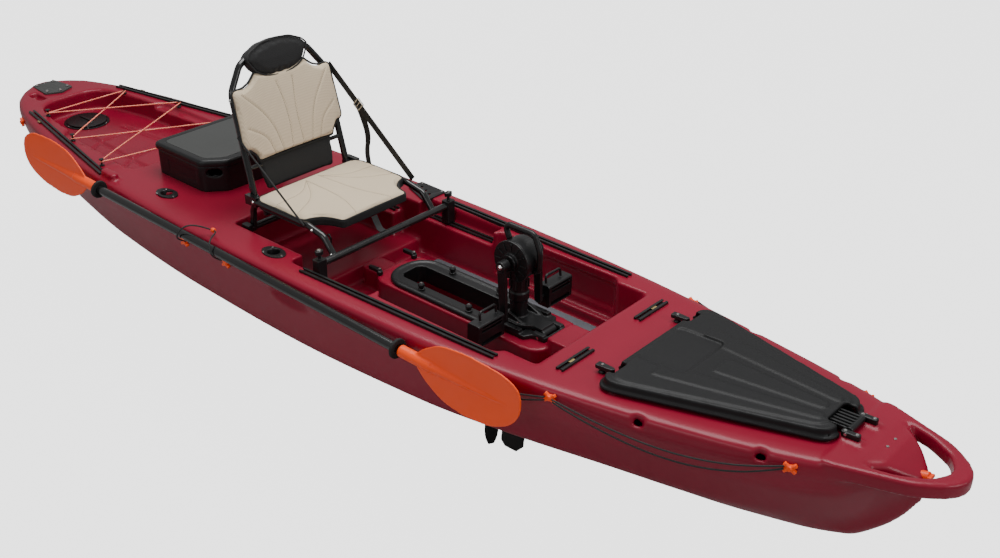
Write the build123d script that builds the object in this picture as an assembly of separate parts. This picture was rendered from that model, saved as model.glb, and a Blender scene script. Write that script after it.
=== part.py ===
from build123d import *
from math import atan2, cos, degrees, radians, sin, tan
import os

# Pedal-driven sit-on-top fishing kayak, in millimetres.
# Frame: +X to the bow, +Y to port, +Z up. The origin is on the flat of the keel, amidships.

# ---------------------------------------------------------------- driving dimensions
HULL_LENGTH = 3960.0
HULL_BEAM = 800.0
HULL_DEPTH = 300.0
HULL_WALL = 6.0
MID_X = 12.0

FOOT_AFT, FOOT_FRONT = -60.0, 790.0
FOOT_HALF = 262.0
FOOT_Z = 118.0
SEAT_AFT = -400.0
SEAT_FLOOR_Z = 165.0
LEDGE_Z = 248.0
LEDGE_HALF = 312.0
REAR_LEDGE_IN = 214.0
REAR_LEDGE_FRONT = -140.0

BOSS_HALF = 108.0
BOSS_AFT = 75.0
BOSS_FRONT = 765.0
BOSS_TOP = 212.0
PLATFORM_HALF = 60.0
PLATFORM_TOP = 240.0
WELL_HALF = 52.0
WELL_AFT, WELL_FRONT = 150.0, 668.0

TANK_AFT_GAP = 200.0
TANK_FLOOR_Z = 235.0
TANK_FRONT = -990.0

LID_FRONT_GAP = 312.0
LID_LENGTH = 600.0
LID_AFT_HALF = 262.0
LID_FRONT_HALF = 96.0
LID_HEIGHT = 34.0
LID_WALL = 5.0
GASKET = 5.0

TRACK_WIDTH = 24.0
TRACK_HEIGHT = 11.0
TRACK_FLOOR = 2.0
REAR_TRACK = (-1716.0, -1033.0)
REAR_TRACK_INSET = (32.0, 28.0)
FRONT_TRACK = (16.0, 785.0)
FRONT_TRACK_INSET = (66.0, 50.0)
CROSS_TRACK_Y = (109.0, 251.0)
CROSS_TRACK_GAP = 122.0
ROD_HOLDERS = [(-740.0, 104.0, -1), (-740.0, 104.0, 1), (-138.0, 84.0, -1)]
ROD_LEAN = 14.0
ROD_BORE_R = 20.5
ROD_TUBE_R = 24.0
ACCESSORY_X, ACCESSORY_Y = -110.0, 336.0
SINK = 4.0
GAP = 0.3
RUN = 0.05

TRAY_HALF = 100.0
TRAY_AFT = 112.0
TRAY_FRONT = 560.0
TRAY_THICK = 10.0
TRAY_LIP = 14.0

PIVOT_X, PIVOT_Z = 720.0, 218.0
KNUCKLE_R = 14.0
PIVOT_PIN_R = 5.0
CRANK_X, CRANK_Z = 606.0, 428.0
CRANK_LENGTH = 170.0
CRANK_LEAN = 3.7
AXLE_R = 8.0
ARM_Y = 74.0
ARM_THICK = 14.0
CASE_R = 62.0
CASE_HALF = 34.0
CASE_WALL = 6.0
COLUMN_R = 27.0
SHAFT_R = 7.0
LEG_HALF = 17.0
PROP_X = 507.0
PROP_Z = -168.0
PROP_R = 124.0
PROP_SHAFT_R = 6.0
PEDAL_WIDTH, PEDAL_DEPTH, PEDAL_TALL = 112.0, 46.0, 74.0
PEDAL_PIN_R = 6.0
PEDAL_GAP = 16.0

SEAT_TUBE_R = 11.0
SEAT_HALF = 222.0
SEAT_Z = 384.0
SEAT_REAR_X = -340.0
SEAT_FRONT_X = -75.0
BAR_X, BAR_Z, BAR_R = 50.0, 317.0, 12.0
REAR_BAR_X = -350.0
RAIL_Y = 290.0
REAR_RAIL_Y = 246.0
BACK_LEAN = 14.6
BACK_HALF = 203.0
BACK_HEIGHT = 456.0
BACK_PIN_R = 5.0

BOX_AFT, BOX_FRONT = -920.0, -600.0
BOX_HALF = 188.0
BOX_HEIGHT = 90.0
BOX_LID = 24.0
BOX_WALL = 4.0

PADDLE_Y = -420.0
PADDLE_R = 15.0
RING_FRONT = (512.0, 266.0)
RING_REAR = (-930.0, 307.0)
BLADE_LENGTH = 430.0
BLADE_HALF = 98.0
BLADE_THICK = 8.0

CORD_R = 2.5
SCREW_R = 4.0

# Hull lines from stern to bow. Each row holds: place along the half length, half beam share,
# sheer rise, keel height, flat share, bilge share and bilge height.
LINES = [
    (-1.000, 0.12, 25, 200, 0.04, 0.08, 238),
    (-0.965, 0.36, 22, 112, 0.10, 0.21, 172),
    (-0.905, 0.52, 18, 45, 0.16, 0.34, 112),
    (-0.815, 0.665, 15, 12, 0.24, 0.47, 80),
    (-0.690, 0.80, 9, -4, 0.32, 0.60, 64),
    (-0.510, 0.92, 4, -4, 0.42, 0.76, 56),
    (-0.260, 0.985, 0, -4, 0.50, 0.88, 52),
    (0.000, 1.00, 0, -4, 0.52, 0.92, 50),
    (0.250, 0.965, 0, -4, 0.48, 0.86, 50),
    (0.400, 0.905, 3, -4, 0.42, 0.75, 52),
    (0.550, 0.80, 8, -4, 0.34, 0.59, 56),
    (0.690, 0.665, 16, -4, 0.24, 0.44, 62),
    (0.800, 0.53, 25, 4, 0.13, 0.27, 74),
    (0.868, 0.41, 31, 28, 0.07, 0.15, 100),
    (0.905, 0.25, 32, 85, 0.04, 0.09, 155),
    (0.930, 0.15, 22, 145, 0.02, 0.055, 205),
    (0.950, 0.05, 5, 215, 0.01, 0.02, 245),
]


def station_x(share):
    return MID_X + share * HULL_LENGTH / 2


def along(x, column):
    """A hull line's value at x, by straight interpolation between its stations."""
    rows = [(station_x(row[0]), row[column]) for row in LINES]
    for (xa, va), (xb, vb) in zip(rows, rows[1:]):
        if xa <= x <= xb:
            return va + (vb - va) * (x - xa) / (xb - xa)
    return rows[0][1] if x < rows[0][0] else rows[-1][1]


def deck_z(x):
    return HULL_DEPTH + along(x, 2)


def half_beam(x):
    return along(x, 1) * HULL_BEAM / 2


STERN_X = station_x(-1.0)
BOW_X = station_x(1.0)
LID_FRONT = BOW_X - LID_FRONT_GAP
LID_AFT = LID_FRONT - LID_LENGTH
TANK_AFT = STERN_X + TANK_AFT_GAP


# ---------------------------------------------------------------- shape helpers
def block(x0, x1, y0, y1, z0, z1):
    return Pos((x0 + x1) / 2, (y0 + y1) / 2, (z0 + z1) / 2) * Box(x1 - x0, y1 - y0, z1 - z0)


def soft_block(x0, x1, y0, y1, z0, z1, r):
    """A block with its upright edges rounded."""
    face = Pos((x0 + x1) / 2, (y0 + y1) / 2, z0) * RectangleRounded(x1 - x0, y1 - y0, r)
    return extrude(face, z1 - z0)


def side_profile(points, y0, y1, grow=0.0):
    """A solid whose outline is drawn in XZ, between y0 and y1."""
    plane = Plane(origin=(0, y1 + grow, 0), x_dir=(1, 0, 0), z_dir=(0, -1, 0))
    face = make_face(Polyline(*points, close=True))
    if grow:
        face = offset(face, grow, kind=Kind.INTERSECTION)
    return extrude(plane * face, y1 - y0 + 2 * grow)


def plan_profile(points, z0, z1, round_r=0.0, grow=0.0):
    """A solid whose outline is drawn in XY, between z0 and z1."""
    face = make_face(Polyline(*points, close=True))
    if round_r:
        face = fillet(face.vertices(), round_r)
    if grow:
        face = offset(face, grow, kind=Kind.ARC)
    return extrude(Pos(0, 0, z0) * face, z1 - z0)


def rod(start, end, r):
    a, b = Vector(*start), Vector(*end)
    plane = Plane(origin=a, z_dir=(b - a))
    return extrude(plane * Circle(r), (b - a).length)


def cross_rod(x, z, y0, y1, r):
    return rod((x, y0, z), (x, y1, z), r)


def bent_tube(points, radii, r, hollow=0.0):
    """A round tube along straight runs joined by tangent arcs."""
    path = FilletPolyline(*points, radius=radii)
    start = Plane(origin=path @ 0, z_dir=path % 0)
    tube = sweep(start * Circle(r), path=path)
    if hollow:
        tube -= sweep(start * Circle(hollow), path=path)
    return tube


def mirrored(shape):
    return mirror(shape, about=Plane.XZ)


def both(shape):
    """The shape and its mirror image on the other side of the boat, as separate solids."""
    return Compound(children=[*shape.solids(), *mirrored(shape).solids()])


def group(shapes):
    return Compound(children=[solid for shape in shapes for solid in shape.solids()])


def cord_radii(points, name):
    """For each corner, 0.45 of the shorter run over the tangent of half the turn."""
    radii = []
    for a, b, c in zip(points, points[1:], points[2:]):
        run_in, run_out = Vector(*b) - Vector(*a), Vector(*c) - Vector(*b)
        half_turn = radians(run_in.get_angle(run_out)) / 2
        radii.append(0.45 * min(run_in.length, run_out.length) / tan(half_turn))
    print(name, "radii", [round(value, 1) for value in radii])
    return radii


def screw_at(x, y, z, head=3.0, r=SCREW_R):
    """A pan-head screw standing on z, with its shank going down 10."""
    shank = Pos(x, y, z - 5) * Cylinder(r * 0.5, 10)
    cap = Pos(x, y, z + head / 2) * Cylinder(r, head)
    return shank + cap


# ---------------------------------------------------------------- hull
def section(row, inset=0.0, x_shift=0.0):
    """One cross-section of the hull, moved inwards by inset."""
    share, beam, rise, keel, flat, bilge, bilge_z = row
    half = beam * HULL_BEAM / 2 - inset
    top = HULL_DEPTH + rise - inset
    low = keel + inset
    floor = max(flat * HULL_BEAM / 2 - 0.4 * inset, 1.5)
    turn = max(bilge * HULL_BEAM / 2 - 0.9 * inset, 2.5)
    turn_z = bilge_z + 0.4 * inset
    corner = min(14.0, half / 2)
    side = [(floor, low), (turn, turn_z), (0.985 * half, turn_z + 0.6 * (top - turn_z)),
            (half, top - corner), (half - corner, top)]
    points = side + [(-y, z) for y, z in reversed(side)]
    plane = Plane(origin=(station_x(share) + x_shift, 0, 0), x_dir=(0, 1, 0), z_dir=(1, 0, 0))
    return plane * make_face(Polyline(*points, close=True))


def hull_body(inset=0.0):
    shifts = [inset] + [0.0] * (len(LINES) - 2) + [-inset]
    body = loft([section(row, inset, shift) for row, shift in zip(LINES, shifts)])
    below = block(STERN_X - 100, BOW_X + 100, -HULL_BEAM, HULL_BEAM, -100, inset)
    return body - below


def top_z():
    return HULL_DEPTH + 120.0


def cockpit_void(grow=0.0):
    top = top_z()
    deep = [(FOOT_AFT, FOOT_Z), (FOOT_FRONT, FOOT_Z), (FOOT_FRONT + 105, deck_z(FOOT_FRONT) + 2),
            (FOOT_FRONT + 105, top), (SEAT_AFT, top), (SEAT_AFT, SEAT_FLOOR_Z),
            (FOOT_AFT, SEAT_FLOOR_Z)]
    void = side_profile(deep, -FOOT_HALF, FOOT_HALF, grow)
    for side in (-1, 1):
        y0, y1 = sorted((side * (REAR_LEDGE_IN + grow), side * (FOOT_HALF + 20)))
        void -= block(SEAT_AFT - 20, REAR_LEDGE_FRONT - grow, y0, y1, 0, LEDGE_Z - grow)
    void += block(FOOT_AFT - grow, 262 + grow, -LEDGE_HALF - grow, LEDGE_HALF + grow,
                  LEDGE_Z - grow, top)
    void += block(282 - grow, 776 + grow, -FOOT_HALF - 26 - grow, FOOT_HALF + 26 + grow,
                  FOOT_Z + 34 - grow, top)
    return void


def drive_boss(shrink=0.0):
    boss = soft_block(BOSS_AFT + shrink, BOSS_FRONT + 10, -BOSS_HALF + shrink, BOSS_HALF - shrink,
                      FOOT_Z - 20, BOSS_TOP - shrink, 60)
    boss += soft_block(BOSS_FRONT - 5 + shrink, FOOT_FRONT + 130, -PLATFORM_HALF + shrink,
                       PLATFORM_HALF - shrink, FOOT_Z - 20, PLATFORM_TOP - shrink, 8)
    boss += soft_block(-30 + shrink, BOSS_AFT + 60, -46 + shrink, 46 - shrink, FOOT_Z - 20,
                       BOSS_TOP - 22 - shrink, 20)
    return boss


def well_void(grow=0.0):
    slot = soft_block(WELL_AFT - grow, WELL_FRONT + grow, -WELL_HALF - grow, WELL_HALF + grow,
                      -60, BOSS_TOP + 40, 30 + grow)
    pocket = block(PIVOT_X - KNUCKLE_R - 6 - grow, PIVOT_X + KNUCKLE_R + 8 + grow, -36 - grow,
                   36 + grow, PIVOT_Z - KNUCKLE_R - 6 - grow, BOSS_TOP + 40)
    return slot + pocket


def tank_outline():
    aft_half = half_beam(TANK_AFT) - 78
    mid_half = half_beam(TANK_AFT + 190) - 88
    front_half = half_beam(TANK_FRONT) - 142
    return [(TANK_AFT, -aft_half), (TANK_AFT + 190, -mid_half), (TANK_FRONT, -front_half),
            (TANK_FRONT, front_half), (TANK_AFT + 190, mid_half), (TANK_AFT, aft_half)]


def tank_void(grow=0.0):
    return plan_profile(tank_outline(), TANK_FLOOR_Z - grow, top_z(), 46, grow)


SCUPPERS = [(-20, 205), (300, 205), (-1100, 120)]


def scupper_void(grow=0.0):
    return group([Pos(x, side * y, 100) * Cylinder(11 + grow, 420)
                  for x, y in SCUPPERS for side in (-1, 1)])


def hatch_frame():
    """The deck under the bow hatch lid: local +x to the bow along the slope, +z off the deck."""
    rise = deck_z(LID_FRONT) - deck_z(LID_AFT)
    return Location((LID_AFT, 0, deck_z(LID_AFT)), (0, -degrees(atan2(rise, LID_LENGTH)), 0))


def lid_outline(inset=0.0):
    return [(inset, -LID_AFT_HALF + 26 + inset), (36 + inset, -LID_AFT_HALF + inset),
            (LID_LENGTH - inset, -LID_FRONT_HALF + inset),
            (LID_LENGTH - inset, LID_FRONT_HALF - inset),
            (36 + inset, LID_AFT_HALF - inset), (inset, LID_AFT_HALF - 26 - inset)]


def hatch_void():
    return hatch_frame() * plan_profile(lid_outline(44), -60, 90, 24)


def bow_loop():
    """The moulded carry loop: a flat rim around an open crescent ahead of the nose."""
    aft = station_x(0.868)
    wide = half_beam(aft)
    outer = [(aft, -wide), (station_x(0.90), -0.33 * HULL_BEAM / 2),
             (station_x(0.96), -0.20 * HULL_BEAM / 2), (BOW_X, -22), (BOW_X, 22),
             (station_x(0.96), 0.20 * HULL_BEAM / 2), (station_x(0.90), 0.33 * HULL_BEAM / 2),
             (aft, wide)]
    inner = [(station_x(0.885), -0.255 * HULL_BEAM / 2), (station_x(0.94), -0.15 * HULL_BEAM / 2),
             (station_x(0.975), -12), (station_x(0.975), 12),
             (station_x(0.94), 0.15 * HULL_BEAM / 2), (station_x(0.885), 0.255 * HULL_BEAM / 2)]
    low, high = HULL_DEPTH - 8, deck_z(aft) + 1
    rim = plan_profile(outer, low, high, 14)
    return rim - plan_profile(inner, low - 30, high + 30, 10)


HULL_CUTS = [STERN_X - 100, -1800.0, TANK_FRONT - 30, -430.0, -100.0, 92.0, 420.0, 845.0, 1110.0,
             1500.0, 1740.0, BOW_X + 100]


def hull_sections(shell):
    """The moulding as lengthwise sections that meet face to face, so that each stays open inside."""
    sections = []
    for xa, xb in zip(HULL_CUTS, HULL_CUTS[1:]):
        sections += (shell & block(xa, xb, -HULL_BEAM, HULL_BEAM, -100, top_z())).solids()
    return group(sections)


def make_hull(seats):
    """The hull shell, with a seat cut for every fitting that is let into it."""
    shell = hull_body()
    inner = hull_body(HULL_WALL)
    inner -= cockpit_void(HULL_WALL) - drive_boss(HULL_WALL)
    inner -= tank_void(HULL_WALL) + well_void(HULL_WALL)
    inner -= scupper_void(4.0)
    shell -= cockpit_void() - drive_boss()
    shell -= tank_void()
    shell -= well_void()
    shell -= inner.solids().sort_by(SortBy.VOLUME)[-1]
    shell -= scupper_void()
    shell += bow_loop()
    shell -= hatch_void()
    for seat in seats:
        shell -= seat
    return hull_sections(shell.solids().sort_by(SortBy.VOLUME)[-1])


# ---------------------------------------------------------------- deck fittings
def track(start, end):
    """A T-slot gear track from start to end, and the groove that it is let into."""
    a, b = Vector(*start), Vector(*end)
    plane = Plane(origin=a, x_dir=Vector(0, 0, 1).cross(b - a), z_dir=(b - a))
    w, h = TRACK_WIDTH / 2, TRACK_HEIGHT
    mouth, slot, lip, low = 4.5, 8.0, h - 3, TRACK_FLOOR
    profile = [(-w, 0), (w, 0), (w, h), (mouth, h), (mouth, lip), (slot, lip), (slot, low),
               (-slot, low), (-slot, lip), (-mouth, lip), (-mouth, h), (-w, h)]
    rail = extrude(plane * make_face(Polyline(*profile, close=True)), (b - a).length)
    envelope = [(-w, 0), (w, 0), (w, h + 20), (-w, h + 20)]
    groove = extrude(plane * make_face(Polyline(*envelope, close=True)), (b - a).length)
    return rail, groove


def track_ends(places, insets):
    """The two ends of a track that runs along the gunwale."""
    return [(x, half_beam(x) - inset, deck_z(x) - SINK) for x, inset in zip(places, insets)]


def track_pair(start, end):
    rail, groove = track(start, end)
    return both(rail), both(groove)


def track_screws(start, end, count):
    """Countersunk screws in the bottom of a track's slot."""
    first, last = Vector(*start), Vector(*end)
    screws = []
    for i in range(count):
        spot = first + (last - first) * ((i + 0.5) / count)
        screws.append(Pos(spot.X, spot.Y, spot.Z + TRACK_FLOOR + 1.1) * Cylinder(3.6, 2.0))
    return both(group(screws))


def rod_holder(x, y):
    """A flush rod holder: an oval flange on the deck over a slanted blind tube."""
    top = deck_z(x)
    lean = Rot(0, -ROD_LEAN, 0)
    flange = extrude(Pos(x, y, top - SINK) * Ellipse(47, 31), SINK + 4)
    tube = Pos(x, y, top) * lean * Pos(0, 0, -80) * Cylinder(ROD_TUBE_R, 168)
    bore = Pos(x, y, top) * lean * Pos(0, 0, -74) * Cylinder(ROD_BORE_R, 172)
    keep = block(x - 120, x + 120, y - 60, y + 60, top - 200, top + 4)
    body = flange + (tube & keep)
    return body - bore, body + Pos(0, 0, 4) * flange


def rod_holder_screws(x, y):
    top = deck_z(x) + 4
    return group([screw_at(x - 38, y, top), screw_at(x + 38, y, top)])


def clip(x, z, side):
    """A moulded side clip let into the hull's side."""
    y = half_beam(x)
    body = soft_block(x - 11, x + 11, y - 10, y + 9, z - 14, z + 14, 3)
    body -= block(x - 20, x + 20, y + 1, y + 5, z - 6, z + 6)
    return body if side > 0 else mirrored(body)


def clip_seat(x, z, side):
    y = half_beam(x)
    body = block(x - 11, x + 11, y - 10, y + 9, z - 14, z + 14)
    return body if side > 0 else mirrored(body)


CLIPS = [(1634, 298), (1000, 282), (303, 252), (-271, 250), (-488, 250), (-1757, 272)]


# ---------------------------------------------------------------- bow hatch
HINGE_BACK = 16.0
HINGE_Z = 18.0
HINGE_HALF = 58.0
HINGE_PIN_R = 4.0
LATCH_Y = LID_AFT_HALF - 82.0


def hinge_x():
    return LID_LENGTH + HINGE_BACK


def hatch_lid():
    """The hollow lid, with its notches and the two knuckles that turn on the hinge pin."""
    base = GASKET - 1 + GAP
    outer = plan_profile(lid_outline(), base, base + LID_HEIGHT, 30)
    outer = chamfer(outer.faces().sort_by(Axis.Z)[-1].edges(), 9)
    void = plan_profile(lid_outline(LID_WALL + 1), base - 1, base + LID_HEIGHT - LID_WALL, 26)
    ribs = group([block(30, LID_LENGTH - 40, y - 2, y + 2, base + 6, base + LID_HEIGHT)
                  for y in (-60, 0, 60)])
    lid = outer - void
    lid += ribs & outer
    lid -= block(LID_LENGTH - 34, LID_LENGTH + 40, -HINGE_HALF - 8, HINGE_HALF + 8,
                 base - 5, base + LID_HEIGHT + 5)
    lid += block(LID_LENGTH - 40, LID_LENGTH - 34, -HINGE_HALF - 12, HINGE_HALF + 12,
                 base, base + LID_HEIGHT - 3)
    for side in (-1, 1):
        y0, y1 = sorted((side * (LATCH_Y - 38), side * (LATCH_Y + 38)))
        lid -= block(-20, 30, y0, y1, base - 5, base + LID_HEIGHT + 5)
        lid += block(30, 35, y0 - 4, y1 + 4, base, base + LID_HEIGHT - 3)
    arm = block(LID_LENGTH - 38, hinge_x(), -HINGE_HALF + 20, HINGE_HALF - 20,
                HINGE_Z - 4, HINGE_Z + 4)
    arm += Pos(hinge_x(), 0, HINGE_Z) * Rot(90, 0, 0) * Cylinder(9, 2 * (HINGE_HALF - 20))
    lid += arm
    lid -= Pos(hinge_x(), 0, HINGE_Z) * Rot(90, 0, 0) * Cylinder(HINGE_PIN_R + RUN, 200)
    return hatch_frame() * lid


def hatch_gasket():
    ring = plan_profile(lid_outline(20), -1, GASKET - 1, 26)
    ring -= plan_profile(lid_outline(32), -6, GASKET + 6, 24)
    return hatch_frame() * ring


def hatch_hinge():
    """The two deck lugs that hold the hinge pin, on one screwed plate."""
    x = hinge_x()
    plate = block(x - 14, x + 42, -HINGE_HALF, HINGE_HALF, -SINK, 4)
    lugs = [block(x - 9, x + 12, side * 48 - 9, side * 48 + 9, 3, HINGE_Z + 9) for side in (-1, 1)]
    body = plate + lugs[0] + lugs[1]
    body -= Pos(x, 0, HINGE_Z) * Rot(90, 0, 0) * Cylinder(HINGE_PIN_R, 200)
    return hatch_frame() * body


def hatch_hinge_seat():
    x = hinge_x()
    return hatch_frame() * block(x - 14, x + 42, -HINGE_HALF, HINGE_HALF, -SINK, 30)


def hatch_pin():
    spot = Pos(hinge_x(), 0, HINGE_Z) * Rot(90, 0, 0)
    return hatch_frame() * spot * Cylinder(HINGE_PIN_R, 2 * HINGE_HALF)


def hatch_latch(side):
    """A swivel latch whose tongue stands in the lid's notch."""
    y = side * LATCH_Y
    foot = Pos(-30, y, 0) * Cylinder(11, 10)
    post = Pos(-30, y, 9) * Cylinder(8, 12)
    outline = [(-48, y - 12), (4, y - 8), (12, y), (4, y + 8), (-48, y + 12)]
    tongue = plan_profile(outline, 12, 24, 4)
    return hatch_frame() * (foot + post + tongue)


# ---------------------------------------------------------------- deck box
def box_z():
    return deck_z((BOX_AFT + BOX_FRONT) / 2) - SINK


def box_outline(inset=0.0):
    return [(BOX_AFT + inset, -BOX_HALF + 14 + inset), (BOX_AFT + 14 + inset, -BOX_HALF + inset),
            (BOX_FRONT - 60, -BOX_HALF + inset), (BOX_FRONT - inset, -BOX_HALF + 70),
            (BOX_FRONT - inset, BOX_HALF - 70), (BOX_FRONT - 60, BOX_HALF - inset),
            (BOX_AFT + 14 + inset, BOX_HALF - inset), (BOX_AFT + inset, BOX_HALF - 14 - inset)]


BOX_HINGE_R = 5.0


def box_hinge():
    return BOX_AFT - 9, box_z() + SINK + BOX_HEIGHT + 2


def deck_box_tray():
    """The open tray, with two hinge lugs and their pin stubs behind its back wall."""
    low = box_z()
    top = low + SINK + BOX_HEIGHT
    tray = plan_profile(box_outline(), low, top, 8)
    tray -= plan_profile(box_outline(BOX_WALL), low + BOX_WALL, top + 10, 6)
    hx, hz = box_hinge()
    for side in (-1, 1):
        y = side * 110
        tray += block(hx - BOX_HINGE_R, BOX_AFT + 2, y - 6, y + 6, top - 24, hz - 3)
        tray += block(hx - BOX_HINGE_R, hx + BOX_HINGE_R, y - 6, y + 6, top - 24, hz)
        tray += cross_rod(hx, hz, y - 6, y + 6, BOX_HINGE_R)
        tray += cross_rod(hx, hz, y - 14, y + 14, 2.5)
    return tray


def deck_box_lid():
    """The hollow lid, with a shallow bed for its panel and two hinge ears beside each lug."""
    base = box_z() + SINK + BOX_HEIGHT + GAP
    lid = plan_profile(box_outline(-3), base, base + BOX_LID, 9)
    lid = chamfer(lid.faces().sort_by(Axis.Z)[-1].edges(), 5)
    lid -= plan_profile(box_outline(BOX_WALL), base - 1, base + BOX_LID - BOX_WALL - 2, 6)
    hx, hz = box_hinge()
    for side in (-1, 1):
        for y in (side * 110 - 11, side * 110 + 11):
            lid += cross_rod(hx, hz, y - 4, y + 4, BOX_HINGE_R)
            lid += block(hx, BOX_AFT, y - 4, y + 4, hz, hz + BOX_HINGE_R)
        lid -= cross_rod(hx, hz, side * 110 - 16, side * 110 + 16, 2.5 + RUN)
    lid -= plan_profile(box_outline(26), base + BOX_LID - 2, base + BOX_LID + 5, 8)
    return lid


def deck_box_panel():
    base = box_z() + SINK + BOX_HEIGHT + GAP
    return plan_profile(box_outline(26), base + BOX_LID - 2, base + BOX_LID - 0.5, 8)


# ---------------------------------------------------------------- stern and tankwell
def stern_plate():
    z = deck_z(STERN_X + 60)
    outline = [(STERN_X + 16, -50), (STERN_X + 16, 50), (STERN_X + 132, 62), (STERN_X + 158, 0),
               (STERN_X + 132, -62)]
    return plan_profile(outline, z - 3, z + 4, 10)


def stern_plate_screws():
    z = deck_z(STERN_X + 60) + 4
    spots = [(32, -36), (32, 36), (120, 46), (120, -46), (142, 0)]
    return group([screw_at(STERN_X + dx, y, z, 3, 5) for dx, y in spots])


def stern_handhold():
    return soft_block(STERN_X + 70, STERN_X + 180, -half_beam(STERN_X + 120) + 30, -74,
                      HULL_DEPTH - 3, HULL_DEPTH + 60, 6)


COVER_R = 78.0


def cover_x():
    return TANK_AFT + 70 + COVER_R / 2


def access_ring():
    ring = Pos(cover_x(), 0, TANK_FLOOR_Z) * Cylinder(COVER_R + 10, 8)
    return ring - Pos(cover_x(), 0, TANK_FLOOR_Z) * Cylinder(COVER_R - 6, 40)


def access_cover():
    lid = Pos(cover_x(), 0, TANK_FLOOR_Z + 4 + GAP + 3) * Cylinder(COVER_R, 6)
    lid += Pos(cover_x(), 0, TANK_FLOOR_Z + 1) * Cylinder(COVER_R - 6 - GAP, 8)
    lid += block(cover_x() - 40, cover_x() + 40, -6, 6, TANK_FLOOR_Z + 8, TANK_FLOOR_Z + 18)
    return lid


EYELETS = [(TANK_AFT + 131, 33), (TANK_AFT + 402, 29), (TANK_AFT + 670, 11)]
POST_R = 3.2


def eyelet_y(x, inset):
    return half_beam(x) - 48 - inset


def eyelet(x, inset):
    """A lashing hook: a foot, a post that the bungee goes round, and a cap."""
    y, z = eyelet_y(x, inset), deck_z(x)
    foot = Pos(x, y, z + 0.5) * Cylinder(9, 7)
    post = Pos(x, y, z + 12) * Cylinder(POST_R, 24)
    cap = Pos(x, y, z + 25) * Cylinder(9, 3)
    return foot + post + cap


def eyelet_seat(x, inset):
    return Pos(x, eyelet_y(x, inset), deck_z(x) + 0.5) * Cylinder(9, 7)


# The tight lacing over the tankwell: straight runs between hooks, with a hook-sized turn at each.
TANK_BUNGEE = [
    (-1090, 283, 315), (-1360, -247.5, 319), (-1372, -248, 319), (-1633.5, 182, 324),
    (-1645.5, 178, 324), (-1645.5, -178, 324), (-1633.5, -182, 331), (-1372, 248, 326),
    (-1360, 247.5, 326), (-1104, -303.5, 322), (-1091, -302, 322), (-1003, 284, 315),
]

# Slack side bungees on the port side, each hanging from one clip to the next.
SIDE_BUNGEES = [
    [(1622, 216, 296), (1560, 240, 268), (1492, 258, 246), (1420, 276, 232), (1346, 292, 226),
     (1272, 306, 228), (1200, 318, 236), (1130, 330, 248), (1068, 340, 262), (1012, 347, 276)],
    [(1622, 216, 304), (1558, 240, 284), (1488, 260, 267), (1416, 278, 256), (1344, 294, 251),
     (1270, 308, 252), (1198, 321, 258), (1128, 333, 267), (1066, 343, 277), (1012, 350, 286)],
    [(988, 349, 274), (926, 358, 250), (858, 366, 230), (788, 373, 217), (716, 379, 209),
     (644, 385, 208), (572, 389, 212), (500, 393, 221), (430, 396, 234), (366, 399, 244),
     (315, 400, 250)],
    [(988, 352, 284), (924, 361, 267), (856, 369, 252), (786, 377, 241), (714, 383, 234),
     (642, 389, 232), (570, 393, 234), (498, 397, 240), (428, 400, 248), (364, 403, 254),
     (315, 404, 258)],
]

# The paddle keeper: up from one clip, over the shaft to the toggle on deck, and back.
PADDLE_KEEPER = [
    (-473, -406, 258), (-473, -420, 268), (-468, -442, 284), (-458, -444, 306), (-448, -432, 325),
    (-436, -412, 332), (-418, -392, 329), (-396, -374, 321), (-372, -366, 319), (-354, -370, 321),
    (-336, -388, 326), (-322, -410, 328), (-310, -430, 321), (-300, -441, 302), (-291, -438, 280),
    (-286, -420, 264), (-286, -406, 255),
]


def cord(points, name):
    return bent_tube(points, cord_radii(points, name), CORD_R)


# ---------------------------------------------------------------- drive
def well_tray():
    """The U-shaped rim round the drive well, with a collar that lines the slot."""
    z = BOSS_TOP
    rim = soft_block(TRAY_AFT, TRAY_FRONT + 60, -TRAY_HALF, TRAY_HALF, z, z + TRAY_THICK, 88)
    lip = soft_block(TRAY_AFT + 4, TRAY_FRONT + 60, -TRAY_HALF + 5, TRAY_HALF - 5, z, z + TRAY_LIP, 84)
    lip -= soft_block(TRAY_AFT + 14, TRAY_FRONT + 90, -TRAY_HALF + 15, TRAY_HALF - 15, z - 5,
                      z + 40, 74)
    collar = soft_block(WELL_AFT + GAP, WELL_FRONT - 40, -WELL_HALF + GAP, WELL_HALF - GAP, z - 50,
                        z + 4, 29)
    tray = rim + lip + collar
    tray -= soft_block(WELL_AFT + 4, WELL_FRONT + 90, -WELL_HALF + 4.5, WELL_HALF - 4.5, z - 80,
                       z + 60, 26)
    tray -= block(TRAY_FRONT, TRAY_FRONT + 200, -200, 200, z - 80, z + 60)
    return tray


TRAY_BOLTS = [(271, 72), (470, 72)]


def tray_bolts():
    z = BOSS_TOP + TRAY_THICK
    pieces = []
    for x, y in TRAY_BOLTS:
        for side in (-1, 1):
            foot = Pos(x, side * y, z + 3) * Cylinder(10, 6)
            head = Pos(x, side * y, z + 12) * Cylinder(7, 12)
            pieces.append(foot + fillet(head.edges().group_by(Axis.Z)[-1], 3))
    return group(pieces)


LEVER_X, LEVER_Y = 93.0, 78.0


def tray_lever(side):
    """A swivel dog at the tray's aft end, turning on its own screw."""
    y = side * LEVER_Y
    post = Pos(LEVER_X, y, BOSS_TOP + GAP + 7) * Cylinder(10, 14)
    arm = plan_profile([(LEVER_X - 46, y - 8), (LEVER_X + 2, y - 9), (LEVER_X + 2, y + 9),
                        (LEVER_X - 46, y + 6)], BOSS_TOP + 8, BOSS_TOP + 20, 4)
    return post + arm


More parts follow.
